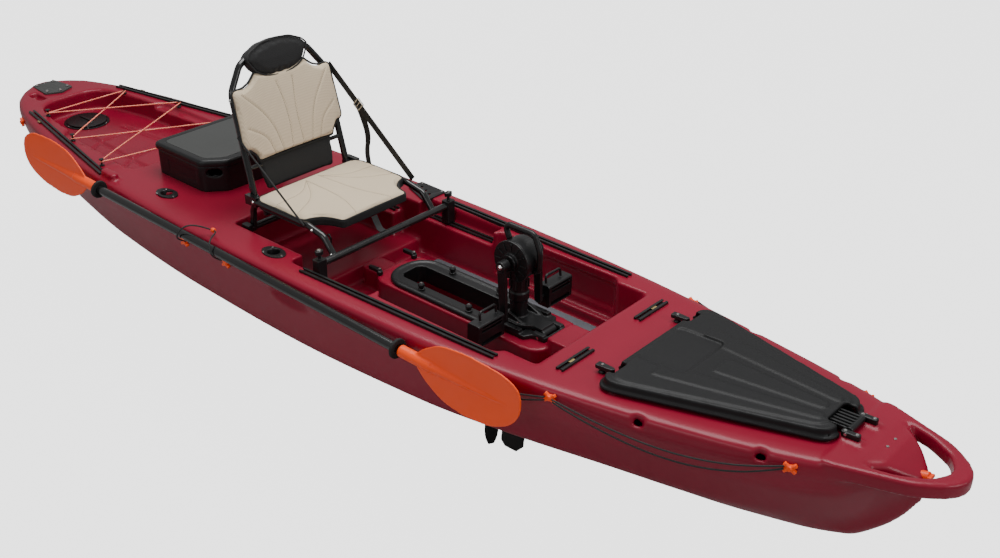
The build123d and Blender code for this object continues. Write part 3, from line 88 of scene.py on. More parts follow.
class Effects:
    """Shader node groups that several finishes share, each built once."""

    def __init__(self) -> None:
        """Starts with no group built."""
        self.built: dict[str, bpy.types.NodeTree] = {}

    def tree(self, name: str, inputs: dict[str, float],
             outputs: tuple[str, ...]) -> tuple[bpy.types.NodeTree, dict[str, bpy.types.Node]]:
        """Starts a group with its sockets.

        Args:
            name: The group's name.
            inputs: Each input's name and usual value.
            outputs: The names of the outputs, all plain values.

        Returns:
            The tree, with its input and output nodes under "in" and "out".
        """
        tree = bpy.data.node_groups.new(name, "ShaderNodeTree")
        for key, value in inputs.items():
            socket = tree.interface.new_socket(name=key, in_out="INPUT", socket_type="NodeSocketFloat")
            socket.default_value = value
        for key in outputs:
            tree.interface.new_socket(name=key, in_out="OUTPUT", socket_type="NodeSocketFloat")
        ends = {"in": tree.nodes.new("NodeGroupInput"), "out": tree.nodes.new("NodeGroupOutput")}
        return tree, ends

    def grain(self) -> bpy.types.NodeTree:
        """Fine pebbled relief over slow tone changes. Returns the group."""
        if "grain" not in self.built:
            tree, ends = self.tree("moulded_grain", {"Grain scale": 900.0, "Tone scale": 3.0},
                                   ("Height", "Tone"))
            place = tree.nodes.new("ShaderNodeTexCoord")
            for socket, scale, detail in (("Height", "Grain scale", 2.0), ("Tone", "Tone scale", 4.0)):
                noise = tree.nodes.new("ShaderNodeTexNoise")
                noise.inputs["Detail"].default_value = detail
                tree.links.new(place.outputs["Object"], noise.inputs["Vector"])
                tree.links.new(ends["in"].outputs[scale], noise.inputs["Scale"])
                tree.links.new(noise.outputs["Fac"], ends["out"].inputs[socket])
            self.built["grain"] = tree
        return self.built["grain"]

    def wear_and_highlight(self) -> bpy.types.NodeTree:
        """A broken mask along raised edges, where the lighter colour is partly wear and partly a painted
        highlight. Returns the group.
        """
        if "wear_and_highlight" not in self.built:
            tree, ends = self.tree("edge_wear_and_highlight", {"From": 0.53, "To": 0.60, "Break-up": 60.0}, ("Mask",))
            geometry = tree.nodes.new("ShaderNodeNewGeometry")
            span = tree.nodes.new("ShaderNodeMapRange")
            tree.links.new(geometry.outputs["Pointiness"], span.inputs["Value"])
            tree.links.new(ends["in"].outputs["From"], span.inputs["From Min"])
            tree.links.new(ends["in"].outputs["To"], span.inputs["From Max"])
            place = tree.nodes.new("ShaderNodeTexCoord")
            noise = tree.nodes.new("ShaderNodeTexNoise")
            tree.links.new(place.outputs["Object"], noise.inputs["Vector"])
            tree.links.new(ends["in"].outputs["Break-up"], noise.inputs["Scale"])
            both = tree.nodes.new("ShaderNodeMath")
            both.operation = "MULTIPLY"
            tree.links.new(span.outputs["Result"], both.inputs[0])
            tree.links.new(noise.outputs["Fac"], both.inputs[1])
            tree.links.new(both.outputs[0], ends["out"].inputs["Mask"])
            self.built["wear_and_highlight"] = tree
        return self.built["wear_and_highlight"]

    def weave(self) -> bpy.types.NodeTree:
        """Crossed threads from two diagonal waves. Returns the group."""
        if "weave" not in self.built:
            tree, ends = self.tree("crossed_threads", {"Threads": 260.0, "Slant": 0.785},
                                   ("Height", "Thread"))
            place = tree.nodes.new("ShaderNodeTexCoord")
            spin = tree.nodes.new("ShaderNodeVectorRotate")
            spin.rotation_type = "Z_AXIS"
            tree.links.new(place.outputs["Object"], spin.inputs["Vector"])
            tree.links.new(ends["in"].outputs["Slant"], spin.inputs["Angle"])
            waves = []
            for axis in ("X", "Y"):
                wave = tree.nodes.new("ShaderNodeTexWave")
                wave.bands_direction = axis
                wave.inputs["Distortion"].default_value = 0.4
                tree.links.new(spin.outputs["Vector"], wave.inputs["Vector"])
                tree.links.new(ends["in"].outputs["Threads"], wave.inputs["Scale"])
                waves.append(wave)
            top = tree.nodes.new("ShaderNodeMath")
            top.operation = "MAXIMUM"
            gap = tree.nodes.new("ShaderNodeMath")
            gap.operation = "MULTIPLY"
            for i, wave in enumerate(waves):
                tree.links.new(wave.outputs["Fac"], top.inputs[i])
                tree.links.new(wave.outputs["Fac"], gap.inputs[i])
            tree.links.new(top.outputs[0], ends["out"].inputs["Height"])
            tree.links.new(gap.outputs[0], ends["out"].inputs["Thread"])
            self.built["weave"] = tree
        return self.built["weave"]


EFFECTS = Effects()


@dataclass(frozen=True)
class Finish:
    """One finish of the boat, made into a node material when it is first used."""

    name: str
    slot: str
    surface: Surface
    base: Point
    shade: Point
    # Colour of raised edges, partly wear and partly a painted highlight; on woven finishes the crossing
    # threads' colour.
    worn_edge_highlight_and_thread: Point
    rough: float
    metal: float = 0.0
    coat: float = 0.0
    sheen: float = 0.0
    relief: float = 0.0002
    scale: float = 700.0
    # How far the lighter raised-edge colour spreads: partly wear, partly painted highlight.
    wear_and_highlight: float = 0.5
    gloss: float = 0.4

    def material(self) -> bpy.types.Material:
        """The material in bpy.data, built on the first call. Returns it."""
        found = bpy.data.materials.get(self.name)
        if found is not None:
            return found
        material = bpy.data.materials.new(self.name)
        material.use_nodes = True
        nodes, links = material.node_tree.nodes, material.node_tree.links
        shader = nodes["Principled BSDF"]
        shader.inputs["Metallic"].default_value = self.metal
        shader.inputs["Coat Weight"].default_value = self.coat
        shader.inputs["Coat Roughness"].default_value = 0.12
        shader.inputs["Sheen Weight"].default_value = self.sheen
        shader.inputs["Specular IOR Level"].default_value = self.gloss
        grain = nodes.new("ShaderNodeGroup")
        grain.node_tree = EFFECTS.grain()
        grain.inputs["Grain scale"].default_value = self.scale
        tone = self.mix(material, grain.outputs["Tone"], (*self.shade, 1), (*self.base, 1))
        height = grain.outputs["Height"]
        if self.surface in (Surface.SPACER, Surface.WEBBING, Surface.BRAID):
            threads = nodes.new("ShaderNodeGroup")
            threads.node_tree = EFFECTS.weave()
            threads.inputs["Threads"].default_value = self.scale
            height = threads.outputs["Height"]
            tone = self.mix(material, threads.outputs["Thread"], tone, (*self.worn_edge_highlight_and_thread, 1))
        else:
            # Raised edges turn to the lighter colour: partly wear, partly a painted highlight.
            wear_and_highlight = nodes.new("ShaderNodeGroup")
            wear_and_highlight.node_tree = EFFECTS.wear_and_highlight()
            wear_and_highlight.inputs["To"].default_value = 0.53 + 0.1 / max(self.wear_and_highlight, 0.01)
            tone = self.mix(material, wear_and_highlight.outputs["Mask"], tone, (*self.worn_edge_highlight_and_thread, 1))
        links.new(tone, shader.inputs["Base Color"])
        polish = nodes.new("ShaderNodeMapRange")
        polish.inputs["To Min"].default_value = self.rough * 0.85
        polish.inputs["To Max"].default_value = min(self.rough * 1.2, 1.0)
        links.new(grain.outputs["Tone"], polish.inputs["Value"])
        links.new(polish.outputs["Result"], shader.inputs["Roughness"])
        bump = nodes.new("ShaderNodeBump")
        bump.inputs["Strength"].default_value = 0.6
        bump.inputs["Distance"].default_value = self.relief
        links.new(height, bump.inputs["Height"])
        links.new(bump.outputs["Normal"], shader.inputs["Normal"])
        return material

    def mix(self, material: bpy.types.Material, mask: bpy.types.NodeSocket,
            low: object, high: object) -> bpy.types.NodeSocket:
        """Mixes two colours by a mask.

        Args:
            material: The material that gets the node.
            mask: The mask's socket.
            low: The colour at 0, a tuple or a socket.
            high: The colour at 1, a tuple or a socket.

        Returns:
            The mixed colour's socket.
        """
        node = material.node_tree.nodes.new("ShaderNodeMix")
        node.data_type = "RGBA"
        material.node_tree.links.new(mask, node.inputs["Factor"])
        for key, value in (("A", low), ("B", high)):
            socket = [s for s in node.inputs if s.name == key and s.type == "RGBA"][0]
            if isinstance(value, tuple):
                socket.default_value = value
            else:
                material.node_tree.links.new(value, socket)
        return [s for s in node.outputs if s.type == "RGBA"][0]


RED = Finish("rotomoulded_crimson", "hull_red", Surface.MOULDED, (0.265, 0.0045, 0.027),
             (0.200, 0.003, 0.018), (0.34, 0.020, 0.052), 0.33, coat=0.10, relief=0.00025, scale=420,
             gloss=0.30)
BLACK = Finish("moulded_black", "black_plastic", Surface.GRAINED, (0.0085, 0.0085, 0.009),
               (0.005, 0.005, 0.0055), (0.03, 0.03, 0.03), 0.36, relief=0.0002)
LIDBLACK = Finish("grained_black_lid", "black_plastic", Surface.GRAINED, (0.009, 0.009, 0.0095),
                  (0.006, 0.006, 0.0065), (0.022, 0.022, 0.022), 0.46, relief=0.0005, scale=520, gloss=0.25)
CHARCOAL = Finish("charcoal_plate_finish", "charcoal_plate", Surface.GRAINED, (0.050, 0.052, 0.050),
                  (0.036, 0.038, 0.036), (0.09, 0.09, 0.09), 0.5)
TRACK = Finish("black_anodised", "track_aluminium", Surface.METAL, (0.007, 0.007, 0.0075),
               (0.004, 0.004, 0.0045), (0.06, 0.06, 0.06), 0.30, metal=0.3, relief=0.00005, wear_and_highlight=0.3)
TUBE = Finish("black_painted_tube", "black_tube", Surface.MOULDED, (0.0045, 0.0045, 0.0045),
              (0.003, 0.003, 0.003), (0.04, 0.04, 0.04), 0.20, coat=0.5, relief=0.00005)
STEEL = Finish("stainless_steel", "steel", Surface.METAL, (0.62, 0.62, 0.60), (0.42, 0.42, 0.41),
               (0.85, 0.85, 0.84), 0.24, metal=1.0, relief=0.00003)
ORANGE = Finish("orange_plastic_finish", "orange_plastic", Surface.MOULDED, (1.0, 0.085, 0.004),
                (0.90, 0.065, 0.003), (1.0, 0.16, 0.03), 0.36, relief=0.0001)
CORD = Finish("black_braided_cord", "black_cord", Surface.BRAID, (0.010, 0.010, 0.010),
              (0.006, 0.006, 0.006), (0.05, 0.05, 0.05), 0.6, relief=0.0004, scale=330)
LACING = Finish("orange_flecked_cord", "orange_cord", Surface.BRAID, (1.0, 0.11, 0.008),
                (0.90, 0.07, 0.005), (0.95, 0.78, 0.66), 0.55, relief=0.0004, scale=180)
FOAM = Finish("grey_foam_mat", "grey_foam", Surface.FOAM, (0.135, 0.140, 0.155),
              (0.100, 0.104, 0.118), (0.2, 0.2, 0.21), 0.85, relief=0.0006, scale=900)
MESH = Finish("beige_spacer_mesh", "beige_mesh", Surface.SPACER, (0.66, 0.53, 0.37),
              (0.57, 0.45, 0.30), (0.80, 0.68, 0.51), 0.9, sheen=0.1, relief=0.0012, scale=95)
FABRIC = Finish("black_pack_cloth", "black_fabric", Surface.WEBBING, (0.006, 0.006, 0.0065),
                (0.004, 0.004, 0.004), (0.018, 0.018, 0.019), 0.65, sheen=0.04, relief=0.0006, scale=170)
RUBBER = Finish("black_rubber", "rubber_seal", Surface.MOULDED, (0.010, 0.010, 0.010),
                (0.006, 0.006, 0.006), (0.04, 0.04, 0.04), 0.7)
BRONZE = Finish("gear_bronze", "bronze_gear", Surface.METAL, (0.42, 0.22, 0.08),
                (0.30, 0.15, 0.05), (0.65, 0.42, 0.2), 0.35, metal=1.0, relief=0.00005)
THREAD = Finish("pale_thread", "beige_mesh", Surface.BRAID, (0.34, 0.26, 0.18),
                (0.28, 0.21, 0.14), (0.42, 0.34, 0.25), 0.8, scale=400)
TICK = Finish("white_mat_marks", "grey_foam", Surface.FOAM, (0.62, 0.63, 0.65),
              (0.52, 0.53, 0.55), (0.7, 0.7, 0.7), 0.8)
BRASS = Finish("track_insert_brass", "bronze_gear", Surface.METAL, (0.55, 0.38, 0.14),
               (0.42, 0.28, 0.10), (0.75, 0.6, 0.3), 0.35, metal=1.0, relief=0.00005)

# ------------------------------------------------------------------ mesh helpers


def rounded(points: Points, cut: float, steps: int = 4, closed: bool = True) -> Points:
    """Eases each corner of an outline with a short curve.

    Args:
        points: The corners, in two or three dimensions.
        cut: How far from a corner its curve starts.
        steps: How many parts each curve has.
        closed: Whether the last point joins the first.

    Returns:
        The eased outline.
    """
    out: Points = []
    count = len(points)
    for i, corner in enumerate(points):
        here = Vector(corner)
        if not closed and i in (0, count - 1):
            out.append(tuple(here))
            continue
        before, after = Vector(points[i - 1]), Vector(points[(i + 1) % count])
        start = here + (before - here) * min(0.48, cut / max((before - here).length, 1e-9))
        end = here + (after - here) * min(0.48, cut / max((after - here).length, 1e-9))
        for k in range(steps + 1):
            t = k / steps
            out.append(tuple(start * (1 - t) ** 2 + here * 2 * t * (1 - t) + end * t * t))
    return out


def smooth_line(xs: list[float], ys: list[float], x: float) -> float:
    """A smooth line through given values that never overshoots them.

    Args:
        xs: The places, rising.
        ys: The values there.
        x: Where the line is wanted.

    Returns:
        The value at x.
    """
    if x <= xs[0]:
        return ys[0]
    if x >= xs[-1]:
        return ys[-1]
    slopes = [(ys[i + 1] - ys[i]) / (xs[i + 1] - xs[i]) for i in range(len(xs) - 1)]
    tangents = [slopes[0], *(0.0 if a * b <= 0 else 2 * a * b / (a + b)
                             for a, b in zip(slopes, slopes[1:])), slopes[-1]]
    i = next(k for k in range(len(xs) - 1) if x <= xs[k + 1])
    h = xs[i + 1] - xs[i]
    t = (x - xs[i]) / h
    return ((2 * t ** 3 - 3 * t ** 2 + 1) * ys[i] + (t ** 3 - 2 * t ** 2 + t) * h * tangents[i]
            + (3 * t ** 2 - 2 * t ** 3) * ys[i + 1] + (t ** 3 - t ** 2) * h * tangents[i + 1])


def linked(name: str, data: bpy.types.ID) -> bpy.types.Object:
    """Puts a new object with the given data in the scene. Returns it."""
    obj = bpy.data.objects.new(name, data)
    bpy.context.scene.collection.objects.link(obj)
    return obj


def new_object(name: str, verts: Points, faces: list[tuple[int, ...]]) -> bpy.types.Object:
    """Makes a mesh object at the origin, its faces turned outwards.

    Args:
        name: The object's name.
        verts: Corner points.
        faces: Each face's corner numbers.

    Returns:
        The object, in the scene.
    """
    mesh = bpy.data.meshes.new(name)
    mesh.from_pydata([tuple(v) for v in verts], [], faces)
    built = bmesh.new()
    built.from_mesh(mesh)
    bmesh.ops.remove_doubles(built, verts=built.verts, dist=1e-6)
    bmesh.ops.recalc_face_normals(built, faces=built.faces)
    built.to_mesh(mesh)
    built.free()
    return linked(name, mesh)


def points_of(mesh: bpy.types.Mesh) -> np.ndarray:
    """A mesh's points, one to a row. Returns them."""
    points = np.empty(len(mesh.vertices) * 3, np.float32)
    mesh.vertices.foreach_get("co", points)
    return points.reshape(-1, 3)


def move_points(mesh: bpy.types.Mesh, points: np.ndarray) -> None:
    """Puts a mesh's points in new places."""
    mesh.vertices.foreach_set("co", points.astype(np.float32).ravel())


def tidy_up(*objects: bpy.types.Object) -> None:
    """Removes working objects."""
    for obj in objects:
        bpy.data.objects.remove(obj)


XY = Matrix.Identity(4)
XZ = Matrix(((1, 0, 0, 0), (0, 0, -1, 0), (0, 1, 0, 0), (0, 0, 0, 1)))


def mirrored(half: Points) -> Points:
    """A closed plan outline from its port half. Returns its points."""
    return [(x, -y) for x, y in half] + [(x, y) for x, y in reversed(half)]


def strip(x0: float, x1: float, y: float, half: float) -> Points:
    """The corners of a rectangle along x, half to each side of y. Returns them."""
    return [(x0, y - half), (x1, y - half), (x1, y + half), (x0, y + half)]


def turns(count: int) -> list[float]:
    """Angles spread evenly round a circle. Returns them in radians."""
    return [2 * math.pi * i / count for i in range(count)]


def prism(outline: Points, low: float, high: float, frame_of: Matrix = XY,
          taper: float = 0.0) -> bpy.types.Object:
    """A closed solid from an outline.

    Args:
        outline: Corner points in the drawing plane.
        low: The near end along the plane's normal.
        high: The far end.
        frame_of: Where the drawing plane lies.
        taper: How far the far end's corners move towards the middle.

    Returns:
        A working object.
    """
    count = len(outline)
    middle = sum((Vector(p[:2]) for p in outline), Vector((0, 0))) / count
    verts = [frame_of @ Vector((*p[:2], low)) for p in outline]
    for p in outline:
        inward = middle - Vector(p[:2])
        moved = Vector(p[:2]) + inward * (taper / max(inward.length, 1e-9))
        verts.append(frame_of @ Vector((*moved, high)))
    faces = [tuple(range(count)), tuple(range(2 * count - 1, count - 1, -1))]
    faces += [(i, (i + 1) % count, count + (i + 1) % count, count + i) for i in range(count)]
    return new_object("working", verts, faces)


def block(x0: float, x1: float, y0: float, y1: float, z0: float, z1: float,
          cut: float = 0.0) -> bpy.types.Object:
    """A block, with its upright edges eased if cut is given. Returns a working object."""
    outline = [(x0, y0), (x1, y0), (x1, y1), (x0, y1)]
    return prism(rounded(outline, cut) if cut else outline, z0, z1)


def side_prism(outline: Points, y0: float, y1: float) -> bpy.types.Object:
    """A solid whose outline is drawn in XZ, between y0 and y1. Returns a working object."""
    return prism(outline, -y1, -y0, XZ)


def loft(rings: list[Points], name: str = "working") -> bpy.types.Object:
    """Joins rings of equal length into a closed skin. Returns the object."""
    count = len(rings[0])
    faces = [tuple(range(count)), tuple(range(len(rings) * count - 1, (len(rings) - 1) * count - 1, -1))]
    for r in range(len(rings) - 1):
        for i in range(count):
            j = (i + 1) % count
            faces.append((r * count + i, r * count + j, (r + 1) * count + j, (r + 1) * count + i))
    return new_object(name, [p for ring in rings for p in ring], faces)


def swept(points: Points, profile: Points, up: Point = (0, 0, 1),
          name: str = "working") -> bpy.types.Object:
    """Carries a closed profile along a path.

    Args:
        points: The path.
        profile: The profile's points, across and upward.
        up: The direction that the profile's upward side keeps to.
        name: The object's name.

    Returns:
        The object.
    """
    rings = []
    path = [Vector(p) for p in points]
    for i, here in enumerate(path):
        ahead = (path[min(i + 1, len(path) - 1)] - path[max(i - 1, 0)]).normalized()
        across = ahead.cross(Vector(up)).normalized()
        over = across.cross(ahead)
        rings.append([tuple(here + across * a + over * b) for a, b in profile])
    return loft(rings, name)


def ball(place: Matrix) -> bpy.types.Object:
    """A unit ball put in place and stretched by a matrix. Returns a working object."""
    work = bmesh.new()
    bmesh.ops.create_uvsphere(work, u_segments=32, v_segments=20, radius=1.0, matrix=place)
    mesh = bpy.data.meshes.new("working")
    work.to_mesh(mesh)
    work.free()
    return linked("working", mesh)


def circle(r: float, count: int = 14, squash: float = 1.0) -> Points:
    """A round profile, or an oval one. Returns its points."""
    return [(r * math.cos(2 * math.pi * i / count), squash * r * math.sin(2 * math.pi * i / count))
            for i in range(count)]


def rod(start: Point, end: Point, r: float, count: int = 24) -> bpy.types.Object:
    """A plain round bar. Returns a working object."""
    axis = Vector(end) - Vector(start)
    up = (0, 0, 1) if abs(axis.normalized().z) < 0.9 else (1, 0, 0)
    return swept([start, end], circle(r, count), up)


def turned(profile: Points, place: Matrix, count: int = 40) -> bpy.types.Object:
    """A solid of revolution.

    Args:
        profile: Radius and height pairs, from the axis round to the axis.
        place: Where its axis, local z, lies.
        count: How many sides it has.

    Returns:
        A working object.
    """
    verts, faces, rows = [], [], []
    for r, z in profile:
        if r < 1e-7:
            rows.append([len(verts)])
            verts.append(place @ Vector((0, 0, z)))
            continue
        rows.append(list(range(len(verts), len(verts) + count)))
        verts += [place @ Vector((r * math.cos(2 * math.pi * i / count),
                                  r * math.sin(2 * math.pi * i / count), z)) for i in range(count)]
    for low, high in zip(rows, rows[1:]):
        for i in range(count):
            j = (i + 1) % count
            corners = [low[i % len(low)], low[j % len(low)], high[j % len(high)], high[i % len(high)]]
            face = tuple(dict.fromkeys(corners))
            if len(face) > 2:
                faces.append(face)
    return new_object("working", verts, faces)


def applied(obj: bpy.types.Object) -> bpy.types.Object:
    """Turns an object's live modifiers or curve into a plain mesh of the same name.

    Args:
        obj: The object, which is removed.

    Returns:
        The plain mesh object.
    """
    graph = bpy.context.evaluated_depsgraph_get()
    graph.update()
    mesh = bpy.data.meshes.new_from_object(obj.evaluated_get(graph), depsgraph=graph)
    name = obj.name
    tidy_up(obj)
    return linked(name, mesh)


def with_modifiers(obj: bpy.types.Object, *settings: tuple[str, dict[str, object]]) -> bpy.types.Object:
    """Runs modifiers on an object and applies them.

    Args:
        obj: The object, which is replaced.
        settings: Each modifier's type and its values.

    Returns:
        The plain result.
    """
    for kind, values in settings:
        modifier = obj.modifiers.new(kind.lower(), kind)
        for key, value in values.items():
            setattr(modifier, key, value)
    return applied(obj)


def combined(adds: list[bpy.types.Object], cuts: list[bpy.types.Object],
             last: list[bpy.types.Object] | None = None) -> bpy.types.Object:
    """Joins solids, cuts others out of them, and joins a last few.

    Args:
        adds: Solids to join.
        cuts: Solids to take away.
        last: Solids to join after the cuts.

    Returns:
        The combined solid. The working objects are removed.
    """
    body = adds[0]
    steps = [(o, "UNION") for o in adds[1:]] + [(o, "DIFFERENCE") for o in cuts]
    steps += [(o, "UNION") for o in last or []]
    for tool, operation in steps:
        body = with_modifiers(body, ("BOOLEAN", {"object": tool, "operation": operation,
                                                 "solver": "MANIFOLD"}))
        tidy_up(tool)
    return body


def eased(body: bpy.types.Object, name: str, voxel: float, passes: int) -> bpy.types.Object:
    """Gives a solid the soft edges of a moulding.

    Args:
        body: The working solid, which is replaced.
        name: The finished object's name.
        voxel: The size of the new mesh's faces.
        passes: How many times the edges are relaxed.

    Returns:
        The eased object.
    """
    done = with_modifiers(body, ("REMESH", {"mode": "VOXEL", "voxel_size": voxel, "use_smooth_shade": True}),
                          ("SMOOTH", {"factor": 0.5, "iterations": passes}))
    done.name = name
    done.data.name = name
    return done


def node_copy(node: str) -> bpy.types.Object:
    """A merged working copy of a CAD node's mesh. Returns it."""
    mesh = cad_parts[node].data.copy()
    built = bmesh.new()
    built.from_mesh(mesh)
    bmesh.ops.remove_doubles(built, verts=built.verts, dist=2e-6)
    built.to_mesh(mesh)
    built.free()
    mesh.materials.clear()
    return linked("working", mesh)


def finished(obj: bpy.types.Object, body: str, finish: Finish, stands_for: tuple[str, ...] = (),
             angle: float = 40.0, blend: tuple | None = None) -> bpy.types.Object:
    """Dresses a piece, smooths its shading and gives it its body; when blend is given it only has its place
    baked in and gets no body.

    Args:
        obj: The piece.
        body: The CAD body it rides on.
        finish: Its finish.
        stands_for: The CAD nodes it replaces.
        angle: Edges sharper than this stay crisp, in degrees.
        blend: For cloth across a joint: the second body, start and end. Only whether it is given is read;
            its contents are not used.

    Returns:
        The piece.
    """
    if obj.type == "MESH":
        obj.data.materials.clear()
        obj.data.materials.append(finish.material())
        obj.data.polygons.foreach_set("material_index", [0] * len(obj.data.polygons))
        obj.data.shade_smooth()
        obj.data.set_sharp_from_angle(angle=math.radians(angle))
    else:
        obj.data.materials.append(finish.material())
    if blend:
        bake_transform(obj)
    else:
        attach(obj, body)
    if stands_for:
        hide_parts(*stands_for)
    LOG.info("%s rides on %s in %s", obj.name, body, finish.name)
    return obj


def softened(node: str, body: str, finish: Finish, voxel: float, passes: int) -> bpy.types.Object:
    """Replaces a CAD node with its moulded, soft-edged form. Returns the piece."""
    piece = eased(node_copy(node), node + "_moulded", voxel, passes)
    return finished(piece, body, finish, (node,))


def bevelled(node: str, body: str, finish: Finish, width: float = 0.0012) -> bpy.types.Object:
    """Replaces a CAD node with a copy whose crisp edges catch the light. Returns the piece."""
    piece = with_modifiers(
        node_copy(node), ("DECIMATE", {"decimate_type": "DISSOLVE", "angle_limit": 0.03}),
        ("BEVEL", {"width": width, "segments": 2, "limit_method": "ANGLE", "angle_limit": 0.6}),
        ("TRIANGULATE", {}))
    piece.name = node + "_edged"
    return finished(piece, body, finish, (node,), 35)


def dressed(node: str, finish: Finish) -> None:
    """Gives a CAD node that stays its finish."""
    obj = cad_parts[node]
    material = finish.material()
    if obj.material_slots:
        for place in obj.material_slots:
            place.link = "OBJECT"
            place.material = material
    else:
        obj.data.materials.append(material)
    LOG.info("%s stays in %s", node, finish.name)

# ------------------------------------------------------------------ Geometry Nodes


class Repeats:
    """Geometry Nodes trees for what repeats or follows a path."""

    def __init__(self) -> None:
        """Starts with no tree built."""
        self.trees: dict[str, bpy.types.NodeTree] = {}

    def start(self, name: str, inputs: tuple[tuple[str, str, object], ...]) -> bpy.types.NodeTree:
        """Starts a tree with a geometry input and output and named inputs.

        Args:
            name: The tree's name.
            inputs: Each further input's name, socket type and usual value.

        Returns:
            The tree.
        """
        tree = bpy.data.node_groups.new(name, "GeometryNodeTree")
        tree.interface.new_socket(name="Geometry", in_out="INPUT", socket_type="NodeSocketGeometry")
        for key, kind, value in inputs:
            socket = tree.interface.new_socket(name=key, in_out="INPUT", socket_type=kind)
            if value is not None:
                socket.default_value = value
        tree.interface.new_socket(name="Geometry", in_out="OUTPUT", socket_type="NodeSocketGeometry")
        self.trees[name] = tree
        return tree

    def end(self, tree: bpy.types.NodeTree, source: bpy.types.NodeSocket,
            given: bpy.types.Node) -> None:
        """Closes a tree with Realize Instances and Set Material."""
        real = tree.nodes.new("GeometryNodeRealizeInstances")
        paint = tree.nodes.new("GeometryNodeSetMaterial")
        out = tree.nodes.new("NodeGroupOutput")
        tree.links.new(source, real.inputs["Geometry"])
        tree.links.new(real.outputs["Geometry"], paint.inputs["Geometry"])
        tree.links.new(given.outputs["Material"], paint.inputs["Material"])
        tree.links.new(paint.outputs["Geometry"], out.inputs[0])

    def screws(self) -> bpy.types.NodeTree:
        """Pan heads of two stacked cones, one at each point, along the point's facing. Returns the tree."""
        if "pan_head_screws" in self.trees:
            return self.trees["pan_head_screws"]
        tree = self.start("pan_head_screws", (("Head radius", "NodeSocketFloat", 0.004),
                                              ("Head height", "NodeSocketFloat", 0.002),
                                              ("Material", "NodeSocketMaterial", None)))
        n, link = tree.nodes, tree.links
        given = n.new("NodeGroupInput")
        heads = []
        for share, lift, top in ((1.0, 0.5, 0.92), (0.72, 1.15, 0.8)):
            cone = n.new("GeometryNodeMeshCone")
            cone.inputs["Vertices"].default_value = 16
            low, high, tall = (n.new("ShaderNodeMath") for _ in range(3))
            for node, factor, source in ((low, share, "Head radius"), (high, share * top, "Head radius"),
                                         (tall, lift, "Head height")):
                node.operation = "MULTIPLY"
                node.inputs[1].default_value = factor
                link.new(given.outputs[source], node.inputs[0])
            link.new(low.outputs[0], cone.inputs["Radius Bottom"])
            link.new(high.outputs[0], cone.inputs["Radius Top"])
            link.new(tall.outputs[0], cone.inputs["Depth"])
            heads.append(cone)
        join = n.new("GeometryNodeJoinGeometry")
        for cone in heads:
            link.new(cone.outputs["Mesh"], join.inputs[0])
        facing = n.new("GeometryNodeInputNamedAttribute")
        facing.data_type = "FLOAT_VECTOR"
        facing.inputs["Name"].default_value = "facing"
        turn = n.new("FunctionNodeAlignRotationToVector")
        turn.axis = "Z"
        link.new(facing.outputs["Attribute"], turn.inputs["Vector"])
        place = n.new("GeometryNodeInstanceOnPoints")
        link.new(given.outputs["Geometry"], place.inputs["Points"])
        link.new(join.outputs[0], place.inputs["Instance"])
        link.new(turn.outputs["Rotation"], place.inputs["Rotation"])
        self.end(tree, place.outputs["Instances"], given)
        return tree

    def stitches(self) -> bpy.types.NodeTree:
        """Short thread runs along each path of the input. Returns the tree."""
        if "thread_runs" in self.trees:
            return self.trees["thread_runs"]
        tree = self.start("thread_runs", (("Pitch", "NodeSocketFloat", 0.008),
                                          ("Thread radius", "NodeSocketFloat", 0.0007),
                                          ("Run length", "NodeSocketFloat", 0.005),
                                          ("Material", "NodeSocketMaterial", None)))
        n, link = tree.nodes, tree.links
        given = n.new("NodeGroupInput")
        curve = n.new("GeometryNodeMeshToCurve")
        points = n.new("GeometryNodeCurveToPoints")
        points.mode = "LENGTH"
        thread = n.new("GeometryNodeMeshCylinder")
        thread.inputs["Vertices"].default_value = 6
        place = n.new("GeometryNodeInstanceOnPoints")
        turn = n.new("FunctionNodeAlignRotationToVector")
        turn.axis = "Z"
        link.new(given.outputs["Geometry"], curve.inputs["Mesh"])
        link.new(curve.outputs["Curve"], points.inputs["Curve"])
        link.new(given.outputs["Pitch"], points.inputs["Length"])
        link.new(given.outputs["Thread radius"], thread.inputs["Radius"])
        link.new(given.outputs["Run length"], thread.inputs["Depth"])
        link.new(points.outputs["Points"], place.inputs["Points"])
        link.new(points.outputs["Tangent"], turn.inputs["Vector"])
        link.new(thread.outputs["Mesh"], place.inputs["Instance"])
        link.new(turn.outputs["Rotation"], place.inputs["Rotation"])
        self.end(tree, place.outputs["Instances"], given)
        return tree

    def tubes(self) -> bpy.types.NodeTree:
        """A round tube along each path of the input. Returns the tree."""
        if "swept_tubes" in self.trees:
            return self.trees["swept_tubes"]
        tree = self.start("swept_tubes", (("Radius", "NodeSocketFloat", 0.01),
                                          ("Sides", "NodeSocketInt", 20),
                                          ("Material", "NodeSocketMaterial", None)))
        n, link = tree.nodes, tree.links
        given = n.new("NodeGroupInput")
        curve = n.new("GeometryNodeMeshToCurve")
        ring = n.new("GeometryNodeCurvePrimitiveCircle")
        skin = n.new("GeometryNodeCurveToMesh")
        skin.inputs["Fill Caps"].default_value = True
        link.new(given.outputs["Geometry"], curve.inputs["Mesh"])
        link.new(given.outputs["Sides"], ring.inputs["Resolution"])
        link.new(given.outputs["Radius"], ring.inputs["Radius"])
        link.new(curve.outputs["Curve"], skin.inputs["Curve"])
        link.new(ring.outputs["Curve"], skin.inputs["Profile Curve"])
        self.end(tree, skin.outputs["Mesh"], given)
        return tree

